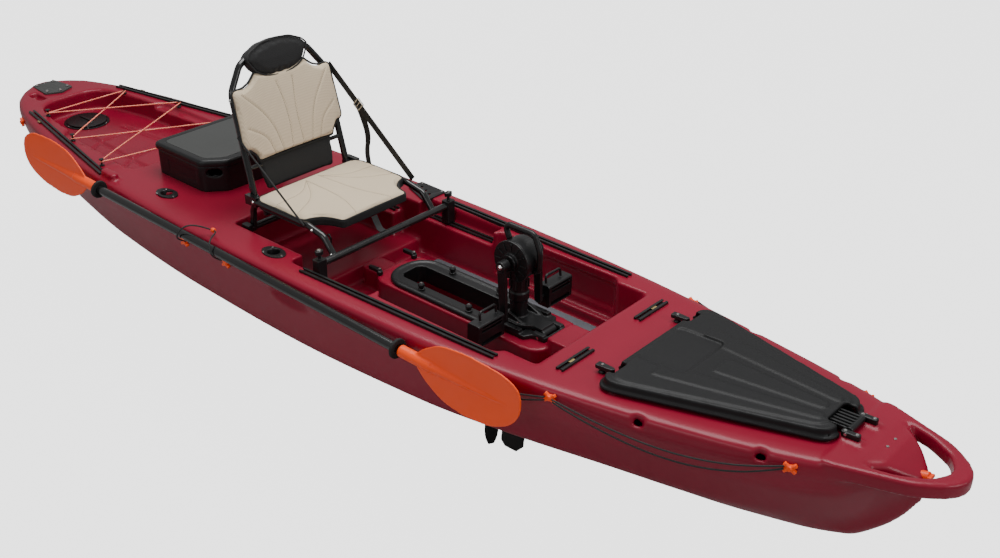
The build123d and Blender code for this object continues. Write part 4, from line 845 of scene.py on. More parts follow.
    def blocks(self) -> bpy.types.NodeTree:
        """A small bar at each point, its length along the point's run. Returns the tree."""
        if "small_bars" in self.trees:
            return self.trees["small_bars"]
        tree = self.start("small_bars", (("Size", "NodeSocketVector", (0.02, 0.003, 0.001)),
                                         ("Material", "NodeSocketMaterial", None)))
        n, link = tree.nodes, tree.links
        given = n.new("NodeGroupInput")
        bar = n.new("GeometryNodeMeshCube")
        run = n.new("GeometryNodeInputNamedAttribute")
        run.data_type = "FLOAT_VECTOR"
        run.inputs["Name"].default_value = "facing"
        turn = n.new("FunctionNodeAlignRotationToVector")
        turn.axis = "X"
        place = n.new("GeometryNodeInstanceOnPoints")
        link.new(given.outputs["Size"], bar.inputs["Size"])
        link.new(run.outputs["Attribute"], turn.inputs["Vector"])
        link.new(given.outputs["Geometry"], place.inputs["Points"])
        link.new(bar.outputs["Mesh"], place.inputs["Instance"])
        link.new(turn.outputs["Rotation"], place.inputs["Rotation"])
        self.end(tree, place.outputs["Instances"], given)
        return tree

    def run(self, name: str, tree: bpy.types.NodeTree, paths: list[Points], finish: Finish,
            body: str, values: dict[str, object], facing: list[Point] | None = None,
            closed: bool = False, stands_for: tuple[str, ...] = (),
            blend: tuple | None = None) -> bpy.types.Object:
        """Runs a tree over points or paths and dresses the plain result.

        Args:
            name: The piece's name.
            tree: The tree.
            paths: Paths, or one list of separate points when facing is given.
            finish: The piece's finish.
            body: The CAD body it rides on.
            values: The tree's inputs by name.
            facing: For separate points, the direction that each faces.
            closed: Whether each path joins its start.
            stands_for: The CAD nodes it replaces.
            blend: For cloth across a joint: the second body, start and end. Passed to finished, which reads
                only whether it is given.

        Returns:
            The piece.
        """
        verts: Points = []
        edges: list[tuple[int, int]] = []
        for path in paths:
            first = len(verts)
            verts += path
            if facing is None:
                edges += [(first + i, first + i + 1) for i in range(len(path) - 1)]
                if closed:
                    edges.append((len(verts) - 1, first))
        mesh = bpy.data.meshes.new(name)
        mesh.from_pydata([tuple(v) for v in verts], edges, [])
        if facing is not None:
            attribute = mesh.attributes.new("facing", "FLOAT_VECTOR", "POINT")
            attribute.data.foreach_set("vector", [c for f in facing for c in f])
        obj = linked(name, mesh)
        modifier = obj.modifiers.new("repeat", "NODES")
        modifier.node_group = tree
        wanted = {**values, "Material": finish.material()}
        for item in tree.interface.items_tree:
            if item.in_out == "INPUT" and item.name in wanted:
                modifier[item.identifier] = wanted[item.name]
        return finished(applied(obj), body, finish, stands_for, blend=blend)


REPEATS = Repeats()


def screw_heads(name: str, body: str, spots: list[tuple[Point, Point]], radius: float = 0.004,
                height: float = 0.002, finish: Finish = STEEL,
                stands_for: tuple[str, ...] = ()) -> bpy.types.Object:
    """Pan-head screws. Each spot is a place and the direction it faces. Returns the piece."""
    return REPEATS.run(name, REPEATS.screws(), [[p for p, _ in spots]], finish, body,
                       {"Head radius": radius, "Head height": height}, [f for _, f in spots],
                       stands_for=stands_for)


def tube(name: str, body: str, paths: list[Points], radius: float, finish: Finish,
         closed: bool = False, stands_for: tuple[str, ...] = (), sides: int = 20,
         blend: tuple | None = None) -> bpy.types.Object:
    """Round tubes along paths. Returns the piece."""
    return REPEATS.run(name, REPEATS.tubes(), paths, finish, body, {"Radius": radius, "Sides": sides},
                       closed=closed, stands_for=stands_for, blend=blend)


# ------------------------------------------------------------------ hull

UP = (0.0, 0.0, 1.0)
HULL_LENGTH = 3.960
HALF_BEAM = 0.400
DECK_Z = 0.300
MID_X = 0.012
STERN_X = MID_X - HULL_LENGTH / 2
LINES = [
    (-1.000, 0.12, 25, 200, 0.04, 0.08, 238), (-0.965, 0.36, 22, 112, 0.10, 0.21, 172),
    (-0.905, 0.52, 18, 45, 0.16, 0.34, 112), (-0.815, 0.665, 15, 12, 0.24, 0.47, 80),
    (-0.690, 0.80, 9, -4, 0.32, 0.60, 64), (-0.510, 0.92, 4, -4, 0.42, 0.76, 56),
    (-0.260, 0.985, 0, -4, 0.50, 0.88, 52), (0.000, 1.00, 0, -4, 0.52, 0.92, 50),
    (0.250, 0.965, 0, -4, 0.48, 0.86, 50), (0.400, 0.905, 3, -4, 0.42, 0.75, 52),
    (0.550, 0.80, 8, -4, 0.34, 0.59, 56), (0.690, 0.665, 16, -4, 0.24, 0.44, 62),
    (0.800, 0.53, 25, 4, 0.13, 0.27, 74), (0.868, 0.41, 31, 28, 0.07, 0.15, 100),
    (0.905, 0.25, 32, 85, 0.04, 0.09, 155), (0.930, 0.15, 22, 145, 0.02, 0.055, 205),
    (0.950, 0.05, 5, 215, 0.01, 0.02, 245),
]


def station(share: float) -> float:
    """The x of a place along the half length."""
    return MID_X + share * HULL_LENGTH / 2


def hull_line(x: float, column: int) -> float:
    """A hull line's smooth value at x."""
    return smooth_line([station(row[0]) for row in LINES], [row[column] for row in LINES], x)


def deck(x: float) -> float:
    """The deck's height at x."""
    return DECK_Z + hull_line(x, 2) / 1000


def beam(x: float) -> float:
    """The half beam at x."""
    return hull_line(x, 1) * HALF_BEAM


ROD_HOLDERS = ((-0.740, -1, 0.104), (-0.740, 1, 0.104), (-0.138, -1, 0.084))


@dataclass
class HullShell:
    """The rotomoulded hull, with its cockpit, tankwell, drive well and bow loop."""

    foot_half: float = 0.262
    foot_z: float = 0.118
    seat_z: float = 0.165
    ledge_z: float = 0.248
    tank_z: float = 0.235
    tank_aft: float = STERN_X + 0.200
    tank_front: float = -0.990
    scoop: Point = (0.02, 0.408, 0.222)
    scoop_size: Point = (0.105, 0.038, 0.036)
    notches: Point = (1.245, 1.560)
    scuppers: Points = ((-0.02, 0.205), (0.30, 0.205), (-1.10, 0.12))
    scupper_r: float = 0.012
    rod_bore_r: float = 0.0225
    channel_r: float = 0.0095
    wall: float = 0.014
    voxel: float = 0.0060
    most_triangles: int = 195000
    sky: float = 0.46

    def ring(self, x: float, inset: float = 0.0) -> Points:
        """One cross-section of the hull. Returns its points, round from the keel."""
        half = beam(x) - inset
        top = deck(x) - inset
        low = hull_line(x, 3) / 1000 + inset
        floor = max(hull_line(x, 4) * HALF_BEAM - 0.4 * inset, 0.0015)
        turn = max(hull_line(x, 5) * HALF_BEAM - 0.9 * inset, 0.0025)
        turn_z = hull_line(x, 6) / 1000 + 0.4 * inset
        bead = min(0.014, half / 2)
        band = min(0.050, (top - turn_z) * 0.3)
        step = min(0.006, half * 0.1)
        side = [(floor, low), (turn, turn_z), (0.985 * half - step, turn_z + 0.6 * (top - turn_z)),
                (half - step, top - band - 0.012), (half, top - band), (half, top - bead),
                (half - bead, top)]
        outline = side + [(-y, z) for y, z in reversed(side)]
        cuts = rounded([(y, z) for y, z in outline], 0.030, 3)
        return [(x, y, z) for y, z in cuts]

    def skin(self, first: float, last: float, count: int, inset: float = 0.0) -> bpy.types.Object:
        """The closed hull body between two places along it. Returns a working object."""
        xs = [first + (last - first) * i / count for i in range(count + 1)]
        return loft([self.ring(x, inset) for x in xs])

    def cockpit(self) -> list[bpy.types.Object]:
        """The solids cut out for the cockpit. Returns working objects."""
        half, sky = self.foot_half, self.sky
        deep = [(-0.14, self.seat_z), (-0.06, self.seat_z), (-0.05, self.foot_z), (0.79, self.foot_z),
                (0.83, 0.17), (0.87, 0.27), (0.90, 0.318), (0.90, sky), (-0.14, sky)]
        cuts = [side_prism(deep, -half, half), block(-0.40, -0.13, -0.214, 0.214, self.seat_z, sky),
                block(-0.40, -0.13, -half, half, self.ledge_z, sky),
                block(-0.06, 0.272, -0.313, 0.313, self.ledge_z, sky, 0.012),
                block(0.282, 0.776, -0.288, 0.288, 0.152, sky, 0.04)]
        for side in (-1, 1):
            for x0, x1 in ((0.30, 0.43), (0.455, 0.76)):
                y0, y1 = sorted((side * 0.27, side * 0.297))
                panel = rounded([(x0, 0.178), (x1, 0.178), (x1, 0.272), (x0, 0.272)], 0.03)
                cuts.append(side_prism(panel, y0, y1))
        return cuts

    def boss(self) -> list[bpy.types.Object]:
        """The raised drive bed in the footwell and its platform. Returns working objects."""
        return [block(0.075, 0.775, -0.108, 0.108, 0.09, 0.212, 0.07),
                block(0.76, 0.92, -0.060, 0.060, 0.09, 0.240, 0.01),
                block(-0.03, 0.13, -0.046, 0.046, 0.09, 0.190, 0.02)]

    def tank(self) -> list[bpy.types.Object]:
        """The solids cut out for the tankwell and its floor channels. Returns working objects."""
        aft, mid = self.tank_aft, self.tank_aft + 0.19
        half = [(aft, beam(aft) - 0.078), (mid, beam(mid) - 0.088),
                (self.tank_front, beam(self.tank_front) - 0.142)]
        cuts = [prism(rounded(mirrored(half), 0.085, 6), self.tank_z, self.sky)]
        shelf = [(aft + 0.30, beam(aft + 0.30) - 0.066), (self.tank_front, beam(self.tank_front) - 0.128)]
        cuts.append(prism(rounded(mirrored(shelf), 0.05, 5), 0.290, self.sky))
        floor = self.tank_z
        for x in (-1.46, -1.24):
            arc = [(x + 0.10 * t ** 2, 0.20 * t, floor) for t in (-1, -0.6, -0.2, 0.2, 0.6, 1)]
            cuts.append(swept(rounded(arc, 0.04, 3, False), circle(self.channel_r, 8), UP))
        for y in (-0.075, 0.075):
            cuts.append(swept([(-1.52, y, floor), (-1.0, y * 1.5, floor)], circle(self.channel_r, 8), UP))
        return cuts

    def side_details(self) -> list[bpy.types.Object]:
        """Scoops, notches, scuppers, rod bores and the stern handhold. Returns working objects."""
        cuts = []
        for side in (-1, 1):
            x, y, z = self.scoop
            cuts.append(ball(Matrix.Translation((x, side * y, z)) @ Matrix.Diagonal((*self.scoop_size, 1))))
            for x in self.notches:
                y0, y1 = sorted((side * (beam(x) - 0.016), side * (beam(x) + 0.03)))
                cuts.append(block(x - 0.016, x + 0.016, y0, y1, deck(x) - 0.035, self.sky))
            for x, y in self.scuppers:
                cuts.append(rod((x, side * y, -0.1), (x, side * y, 0.3), self.scupper_r))
        for x, side, inset in ROD_HOLDERS:
            y, z = side * (beam(x) - inset), deck(x)
            cuts.append(rod((x - 0.0097, y, z + 0.0388), (x + 0.0363, y, z - 0.1455), self.rod_bore_r))
        aft = STERN_X + 0.085
        cuts.append(block(aft, STERN_X + 0.165, -beam(aft) + 0.045, -0.074, DECK_Z - 0.004, self.sky, 0.01))
        return cuts

    @staticmethod
    def slope() -> bpy.types.Object:
        """The wedge off the top of the nose that bares the drain plug. Returns a working object."""
        return side_prism([(1.80, 0.336), (1.84, 0.318), (1.885, 0.292), (1.90, 0.27), (1.96, 0.27),
                           (1.96, 0.46), (1.80, 0.46)], -0.07, 0.07)

    def bow_loop(self) -> tuple[bpy.types.Object, bpy.types.Object]:
        """The moulded carry loop and the crescent cut out of it. Returns both as working objects."""
        aft = station(0.868)
        outer = [(aft - 0.04, beam(aft - 0.04)), (1.799, 0.146), (1.902, 0.112), (1.968, 0.064),
                 (1.996, 0.022)]
        inner = [(1.772, 0.122), (1.853, 0.100), (1.918, 0.062), (1.946, 0.016)]
        low, high = DECK_Z - 0.010, deck(aft) + 0.003
        return (prism(rounded(mirrored(outer), 0.03), low, high),
                prism(rounded(mirrored(inner), 0.014), low - 0.04, high + 0.04))

    def build(self) -> bpy.types.Object:
        """Builds the whole moulding. Returns the piece."""
        body = self.skin(station(-1.0), station(0.95), 90)
        loop, gap = self.bow_loop()
        nose = combined([self.skin(station(0.80), station(0.95), 24)], [self.slope()])
        body = combined([body], [self.slope()])
        cuts = [*self.cockpit(), *self.tank(), *self.side_details()]
        body = combined([body, loop], [gap, *cuts], [*self.boss(), nose])
        well = [block(0.150, 0.668, -0.052, 0.052, -0.08, 0.30, 0.04),
                block(0.700, 0.742, -0.036, 0.036, 0.196, 0.30)]
        hatch = BowHatch.place()
        hold = [self.skin(0.95, 1.80, 30, self.wall),
                prism(rounded(BowHatch.mouth(), 0.03), -0.06, 0.09, hatch)]
        pads = [prism(rounded(strip(0.602, 0.660, y, 0.013), 0.006), -0.02, 0.0095, hatch)
                for y in (-BowHatch.lug_y, BowHatch.lug_y)]
        rest = [(-1.035, -0.345), (-0.955, -0.350), (-0.955, -0.318), (-1.035, -0.313)]
        body = combined([body], [*well, *hold], [*pads, prism(rounded(rest, 0.012), 0.29, 0.326)])
        piece = eased(body, "hull_moulding", self.voxel, 7)
        faces = len(piece.data.polygons) * 2
        if faces > self.most_triangles:
            piece = with_modifiers(piece, ("DECIMATE", {"ratio": self.most_triangles / faces}))
        return finished(piece, "boat", RED, ("hull",), 80)

# ------------------------------------------------------------------ bow hatch


@dataclass
class BowHatch:
    """The grained bow hatch lid with its hinge and latches."""

    base: float = 0.0043
    lug_y: float = 0.047
    lug_top: float = 0.0235
    latch_y: float = 0.180
    hinge_x: float = 0.616
    hinge_z: float = 0.018

    @staticmethod
    def place() -> Matrix:
        """Where the lid's own plane lies: local x to the bow along the deck, local z off it."""
        return Matrix.Translation((1.080, 0, 0.30765)) @ Matrix.Rotation(-0.0352, 4, "Y")

    @staticmethod
    def outline(inset: float = 0.0) -> Points:
        """The lid's outline, moved inwards by inset."""
        i = inset
        half = [(i, 0.236 - i), (0.036 + i, 0.262 - i), (0.600 - i, 0.096 - i * 0.8)]
        return mirrored(half)

    @staticmethod
    def mouth() -> Points:
        """The opening in the deck below the lid."""
        return BowHatch.outline(0.044)

    def build(self) -> None:
        """Builds the lid, seal, hinge and latches."""
        at = self.place()
        b = self.base
        adds = [prism(rounded(self.outline(-0.003), 0.040, 6), b, b + 0.010, at),
                prism(rounded(self.outline(0.003), 0.040, 6), b + 0.006, b + 0.030, at, 0.006),
                prism(rounded(self.outline(0.020), 0.040, 6), b + 0.026, b + 0.0335, at, 0.008)]
        for inner, outer in ((0.0, 0.19), (0.40, 0.72)):
            for side in (-1, 1):
                y = [side * s * h for s, h in ((inner, 0.22), (outer, 0.22), (outer, 0.085),
                                               (inner, 0.085))]
                band = [(0.10, y[0]), (0.10, y[1]), (0.560, y[2]), (0.560, y[3])]
                if side < 0 or inner:
                    if not inner:
                        band = [(0.215, -y[1]), (0.215, y[1]), (0.545, y[2]), (0.545, -y[2])]
                    adds.append(prism(rounded(band, 0.014), b + 0.030, b + 0.0365, at, 0.009))
        cuts = [prism(self.outline(0.014), -0.01, b + 0.022, at),
                prism(rounded([(0.022, -0.105), (0.175, -0.105), (0.175, 0.105), (0.022, 0.105)], 0.02),
                      b + 0.0285, 0.06, at),
                prism(rounded([(0.560, -0.050), (0.66, -0.056), (0.66, 0.056), (0.560, 0.050)], 0.012),
                      -0.01, 0.06, at)]
        for side in (-1, 1):
            y = side * self.latch_y
            cuts.append(prism(rounded([(-0.03, y - 0.034), (0.030, y - 0.030), (0.030, y + 0.030),
                                       (-0.03, y + 0.034)], 0.010), -0.01, 0.06, at))
        lid = eased(combined(adds, cuts), "bow_hatch_lid_moulding", 0.0032, 5)
        lid = with_modifiers(lid, ("DECIMATE", {"ratio": 0.75}))
        finished(lid, "bow_hatch", LIDBLACK, ("bow_hatch_lid",), 80)
        strap = prism([(0.545, -0.034), (self.hinge_x, -0.034), (self.hinge_x, 0.034), (0.545, 0.034)],
                      0.012, 0.023, at)
        knuckle = rod(at @ Vector((self.hinge_x, -0.036, self.hinge_z)),
                      at @ Vector((self.hinge_x, 0.036, self.hinge_z)), 0.0095)
        arm = eased(combined([strap, knuckle], []), "hatch_hinge_strap", 0.0018, 3)
        finished(arm, "bow_hatch", BLACK)
        spots = [(tuple(at @ Vector((0.583, y, 0.0245))), (1.0, 0.0, 0.035))
                 for y in (-0.027, -0.0135, 0.0, 0.0135, 0.027)]
        REPEATS.run("hatch_hinge_ribs", REPEATS.blocks(), [[p for p, _ in spots]], BLACK, "bow_hatch",
                    {"Size": (0.062, 0.0055, 0.007)}, [f for _, f in spots])
        up = tuple(at.to_3x3() @ Vector(UP))
        screw_heads("hatch_strap_screws", "bow_hatch",
                    [(tuple(at @ Vector((0.553, y, 0.0235))), up) for y in (-0.020, 0.0, 0.020)], 0.0045)
        lugs = [prism(rounded(strip(0.602, 0.652, y, 0.0085), 0.006), 0.008, self.lug_top, at)
                for y in (-self.lug_y, self.lug_y)]
        hinge = eased(combined(lugs, []), "hatch_hinge_lugs", 0.0016, 3)
        finished(hinge, "boat", BLACK, ("bow_hatch_hinge",))
        screw_heads("hatch_hinge_screws", "boat",
                    [(tuple(at @ Vector((x, y, self.lug_top))), up) for y in (-self.lug_y, self.lug_y)
                     for x in (0.611, 0.643)], 0.0045)
        for body in ("latch_port", "latch_starboard"):
            softened("hatch_" + body, body, BLACK, 0.0014, 4)
        for side, body in ((1, "latch_port"), (-1, "latch_starboard")):
            screw_heads("latch_screw_" + body, body,
                        [(tuple(at @ Vector((-0.030, side * self.latch_y, 0.0245))), up)], 0.0045)
        dressed("bow_hatch_gasket", RUBBER)
        dressed("bow_hatch_hinge_pin", STEEL)


# ------------------------------------------------------------------ deck box


@dataclass
class DeckBox:
    """The tackle box behind the seat, with its lid and panel."""

    aft: float = -0.920
    front: float = -0.600
    half: float = 0.188
    low: float = 0.2985
    split: float = 0.3945
    top: float = 0.4185

    def outline(self, inset: float = 0.0) -> Points:
        """The box's plan outline, moved inwards by inset."""
        i = inset
        half = [(self.aft + i, self.half - 0.014 - i), (self.aft + 0.014 + i, self.half - i),
                (self.front - 0.060 - 0.4 * i, self.half - i),
                (self.front - i, self.half - 0.070 - 0.4 * i)]
        return mirrored(half)

    def corner(self) -> Matrix:
        """The starboard front corner's face, with local z out of it. Returns its place."""
        a = Vector((self.front - 0.064, -self.half + 0.004, 0))
        b = Vector((self.front - 0.004, -self.half + 0.074, 0))
        along = (b - a).normalized()
        out = along.cross(Vector(UP))
        middle = (a + b) / 2 + Vector((0, 0, 0.371))
        return Matrix.Translation(middle) @ Matrix((along, Vector(UP), out)).transposed().to_4x4()

    def recess(self) -> bpy.types.Object:
        """The oval finger recess cut into that corner. Returns a working object."""
        return ball(self.corner() @ Matrix.Diagonal((0.031, 0.0165, 0.0065, 1)))

    def build(self) -> None:
        """Builds the tray, the lid and its panel."""
        tray = combined([prism(rounded(self.outline(0.004), 0.016, 5), self.low, self.split, XY, -0.003)],
                        [prism(rounded(self.outline(0.012), 0.016, 5), self.low + 0.01, 0.46),
                         block(-0.85, -0.69, -0.20, -0.1835, 0.325, 0.372, 0.004), self.recess()])
        finished(eased(tray, "deck_box_tray", 0.0034, 4), "boat", BLACK, ("deck_box",), 80)
        edge = rounded(self.outline(-0.003), 0.018, 5)
        lid = combined([prism(edge, self.split + 0.0003, self.top - 0.007),
                        prism(edge, self.top - 0.0075, self.top, XY, 0.007)],
                       [prism(rounded(self.outline(0.010), 0.016, 5), 0.38, self.top - 0.010),
                        prism(rounded(self.outline(0.022), 0.014, 5), self.top - 0.0025, 0.46)])
        finished(eased(lid, "deck_box_cover", 0.0030, 4), "box_lid", BLACK, ("deck_box_lid",), 80)
        panel = prism(rounded(self.outline(0.025), 0.014, 5), self.top - 0.0035, self.top - 0.0003)
        panel.name = "deck_box_top_panel"
        panel = with_modifiers(panel, ("BEVEL", {"width": 0.0008, "segments": 2}))
        finished(panel, "box_lid", CHARCOAL, ("deck_box_lid_panel",))
        path = [tuple(self.corner() @ Vector((0.033 * math.cos(a), 0.0185 * math.sin(a), 0.0)))
                for a in turns(24)]
        tube("deck_box_finger_rim", "boat", [path], 0.0030, BLACK, closed=True, sides=10)


# ------------------------------------------------------------------ deck hardware


@dataclass
class DeckHardware:
    """Tracks, rod holders, plates, clips and the drain plug."""

    clips: tuple[Point, ...] = ((1.634, 0.298), (1.000, 0.282), (0.303, 0.252), (-0.271, 0.250),
                                (-0.488, 0.250), (-1.757, 0.272))
    slots: tuple[Points, ...] = (((-1.712, 0.032), (-1.037, 0.028)), ((0.020, 0.066), (0.781, 0.050)))
    cross_x: float = 0.958
    nose_x: float = 1.788

    def tracks(self) -> None:
        """The four pairs of T-slot tracks, their screws and brass nuts."""
        for node in ("rear_gear_tracks", "front_gear_tracks", "bow_cross_tracks", "seat_rails"):
            dressed(node, TRACK)
        dressed("track_screws", STEEL)
        x, aft = self.cross_x, -1.60
        spots = [((x, side * 0.195, deck(x) + 0.0045), (0.0, 1.0, 0.0)) for side in (-1, 1)]
        spots += [((aft, side * (beam(aft) - 0.0315), deck(aft) + 0.0045), (0.95, side * 0.12, 0.0))
                  for side in (-1, 1)]
        REPEATS.run("track_slot_nuts", REPEATS.blocks(), [[p for p, _ in spots]], BRASS, "boat",
                    {"Size": (0.022, 0.008, 0.003)}, [f for _, f in spots])

        lines, z = [], deck(self.cross_x) + 0.0010
        for side in (-1, 1):
            for ends in self.slots:
                lines.append([(x, side * (beam(x) - inset), deck(x) + 0.0010) for x, inset in ends])
            lines.append([(self.cross_x, side * 0.113, z), (self.cross_x, side * 0.247, z)])
        flat = [(-0.0042, -0.0006), (0.0042, -0.0006), (0.0042, 0.0006), (-0.0042, 0.0006)]
        strips = combined([swept(line, flat, UP) for line in lines], [])
        strips.name = "track_slot_floors"
        finished(strips, "boat", TRACK)

    def rod_holders(self) -> None:
        """The flush rod holders and their screws."""
        softened("rod_holders", "boat", BLACK, 0.0022, 3)
        spots = []
        for x, side, inset in ROD_HOLDERS:
            y, z = side * (beam(x) - inset), deck(x) + 0.0042
            spots += [((x + 0.040 * math.cos(a), y + 0.0262 * math.sin(a), z), UP) for a in (0.0, 2.3, 4.1)]
        screw_heads("rod_holder_screws", "boat", spots, 0.0042, stands_for=("deck_screws",))

    def plates(self) -> None:
        """The stern plate and the gear plate beside the seat, with their bolts."""
        bevelled("accessory_plate", "boat", BLACK)
        bevelled("stern_plate", "boat", CHARCOAL)
        x, y, z = -0.110, 0.336, deck(-0.110) + 0.0052
        corners = ((-0.050, 0.002), (-0.046, 0.042), (0.052, 0.036), (0.054, -0.046))
        screw_heads("gear_plate_screws", "boat", [((x + dx, y + dy, z), UP) for dx, dy in corners], 0.0042)
        bolts = ((0.032, -0.036), (0.032, 0.036), (0.120, 0.046), (0.120, -0.046), (0.142, 0.0))
        screw_heads("stern_plate_bolts", "boat", [((STERN_X + dx, y, 0.3288), UP) for dx, y in bolts],
                    0.0062, 0.0045)
        screw_heads("nose_deck_screws", "boat",
                    [((self.nose_x, y, deck(self.nose_x) + 0.001), UP) for y in (-0.012, 0.030)],
                    0.0040, 0.0015)

    def side_clips(self) -> None:
        """Cross-shaped cord clips along both sides."""
        adds = []
        for x, z in self.clips:
            for side in (-1, 1):
                y = beam(x) + 0.005
                turn = Matrix.Rotation(-side * math.atan2(beam(x) - beam(x + 0.05), 0.05), 4, "Z")
                place = Matrix.Translation((x, side * y, z)) @ turn
                for lean in (0.62, -0.62):
                    bar = block(-0.019, 0.019, -0.0055, 0.0055, -0.0045, 0.0045)
                    bar.data.transform(place @ Matrix.Rotation(lean, 4, "Y"))
                    adds.append(bar)
                adds.append(rod((x, side * (y - 0.012), z), (x, side * (y + 0.008), z), 0.0075, 16))
        piece = eased(combined(adds, []), "side_cord_clips", 0.0013, 3)
        finished(piece, "boat", ORANGE, ("side_clips",), 80)

    def drain(self) -> None:
        """The drain plug in the tip of the nose."""
        softened("bow_drain_plug", "drain_plug", ORANGE, 0.0012, 3)

    def build(self) -> None:
        """Builds every fitting on the deck."""
        self.tracks()
        self.rod_holders()
        self.plates()
        self.side_clips()
        self.drain()


# ------------------------------------------------------------------ tankwell and cords


@dataclass
class Lines:
    """The boat's elastic cords, each on its route through the part's own points."""

    diameter: float = 0.005

    def cord(self, name: str, points: Points, finish: Finish, node: str) -> bpy.types.Object:
        """Makes one cord as a smooth spline.

        Args:
            name: The piece's name.
            points: The route's points, in millimetres.
            finish: Its finish.
            node: The CAD node it stands for.

        Returns:
            The cord.
        """
        data = bpy.data.curves.new(name, "CURVE")
        data.dimensions = "3D"
        data.bevel_depth = self.diameter / 2
        data.bevel_resolution = 3
        data.resolution_u = 10
        data.use_fill_caps = True
        spline = data.splines.new("NURBS")
        spline.points.add(len(points) - 1)
        for point, (x, y, z) in zip(spline.points, points):
            point.co = (x / 1000, y / 1000, z / 1000, 1.0)
        spline.order_u = 3
        spline.use_endpoint_u = True
        obj = linked(name, data)
        finished(obj, "boat", finish, (node,))
        return obj

    def build(self) -> None:
        """Lays the tankwell lacing, the side cords and the paddle keeper."""
        self.cord("tankwell_lacing", [
            (-1090, 283, 315), (-1360, -247.5, 319), (-1372, -248, 319), (-1633.5, 182, 324),
            (-1645.5, 178, 324), (-1645.5, -178, 324), (-1633.5, -182, 331), (-1372, 248, 326),
            (-1360, 247.5, 326), (-1104, -303.5, 322), (-1091, -302, 322), (-1003, 284, 315),
        ], LACING, "tankwell_bungee")
        routes = [
            (0.640, [(1622, 216, 296), (1560, 240, 268), (1492, 258, 246), (1420, 276, 232),
                     (1346, 292, 226), (1272, 306, 228), (1200, 318, 236), (1130, 330, 248),
                     (1068, 340, 262), (1012, 347, 276)]),
            (0.634, [(1622, 216, 304), (1558, 240, 284), (1488, 260, 267), (1416, 278, 256),
                     (1344, 294, 251), (1270, 308, 252), (1198, 321, 258), (1128, 333, 267),
                     (1066, 343, 277), (1012, 350, 286)]),
            (0.687, [(988, 349, 274), (926, 358, 250), (858, 366, 230), (788, 373, 217), (716, 379, 209),
                     (644, 385, 208), (572, 389, 212), (500, 393, 221), (430, 396, 234), (366, 399, 244),
                     (315, 400, 250)]),
            (0.682, [(988, 352, 284), (924, 361, 267), (856, 369, 252), (786, 377, 241), (714, 383, 234),
                     (642, 389, 232), (570, 393, 234), (498, 397, 240), (428, 400, 248), (364, 403, 254),
                     (315, 404, 258)]),
        ]
        for number, (length, route) in enumerate(routes):
            for side, word in ((1, "port"), (-1, "starboard")):
                self.cord(f"side_cord_{word}_{number}", [(x, side * y, z) for x, y, z in route], CORD,
                          "side_bungees")
        self.cord("paddle_keeper", [
            (-473, -406, 258), (-473, -420, 268), (-468, -442, 284), (-458, -444, 306), (-448, -432, 325),
            (-436, -412, 332), (-418, -392, 329), (-396, -374, 321), (-372, -366, 319), (-354, -370, 321),
            (-336, -388, 326), (-322, -410, 328), (-310, -430, 321), (-300, -441, 302), (-291, -438, 280),
            (-286, -420, 264), (-286, -406, 255),
        ], CORD, "paddle_keeper_cord")
        bead = turned([(0.0, -0.008), (0.0065, -0.0065), (0.0088, 0.0), (0.0065, 0.0065), (0.0, 0.008)],
                      Matrix.Translation((-0.372, -0.366, 0.3185)) @ Matrix.Rotation(1.5708, 4, "Y"), 20)
        bead.name = "paddle_keeper_bead"
        finished(bead, "boat", ORANGE)


@dataclass
class Tankwell:
    """The round access cover in the tankwell and the lashing hooks round it."""

    cover_x: float = -1.659
    floor: float = 0.235

    def build(self) -> None:
        """Builds the cover, its ring and screws, and the hooks."""
        softened("access_cover_ring", "boat", BLACK, 0.0020, 2)
        softened("access_cover", "access_hatch", BLACK, 0.0020, 2)
        ring = [((self.cover_x + 0.0832 * math.cos(a), 0.0832 * math.sin(a), self.floor + 0.0045), UP)
                for a in [math.radians(30 + 60 * i) for i in range(6)]]
        screw_heads("access_ring_screws", "boat", ring, 0.0040, 0.002)
        softened("tankwell_hooks", "boat", BLACK, 0.0013, 2)

# ------------------------------------------------------------------ cockpit


@dataclass
class Cockpit:
    """Foam mats, the drive well's tray, its knobs and its swivel levers."""

    floor: float = 0.118
    knob_x: Point = (0.271, 0.470)
    knob_y: float = 0.072

    def build(self) -> None:
        """Builds the cockpit's fittings."""
        bevelled("floor_mats", "boat", FOAM, 0.001)
        spots = [((0.30 + 0.030 * i, side * 0.190, self.floor + 0.0054), (0.15, 1.0, 0.0))
                 for side in (-1, 1) for i in range(16)]
        REPEATS.run("mat_marks", REPEATS.blocks(), [[p for p, _ in spots]], TICK, "boat",
                    {"Size": (0.018, 0.0034, 0.0010)}, [f for _, f in spots])
        softened("drive_well_tray", "boat", BLACK, 0.0032, 4)
        profile = [(0.0, 0.0), (0.0115, 0.0), (0.0115, 0.005), (0.0075, 0.007), (0.0075, 0.010),
                   (0.0105, 0.013), (0.0105, 0.019), (0.0075, 0.0225), (0.0, 0.0235)]
        places = [(x, side * self.knob_y) for x in self.knob_x for side in (-1, 1)]
        knobs = [turned(profile, Matrix.Translation((x, y, 0.222)), 20) for x, y in places]
        piece = combined(knobs, [])
        piece.name = "tray_knobs"
        finished(piece, "boat", BLACK, ("tray_bolts",))
        screw_heads("tray_knob_studs", "boat", [((x, y, 0.2455), UP) for x, y in places], 0.0035, 0.002)
        softened("tray_lever_port", "lever_port", BLACK, 0.0014, 3)
        softened("tray_lever_starboard", "lever_starboard", BLACK, 0.0014, 3)
        for side, body in ((1, "lever_port"), (-1, "lever_starboard")):
            screw_heads("lever_screw_" + body, body, [((0.093, side * 0.078, 0.2345), UP)], 0.0050)


# ------------------------------------------------------------------ pedal drive


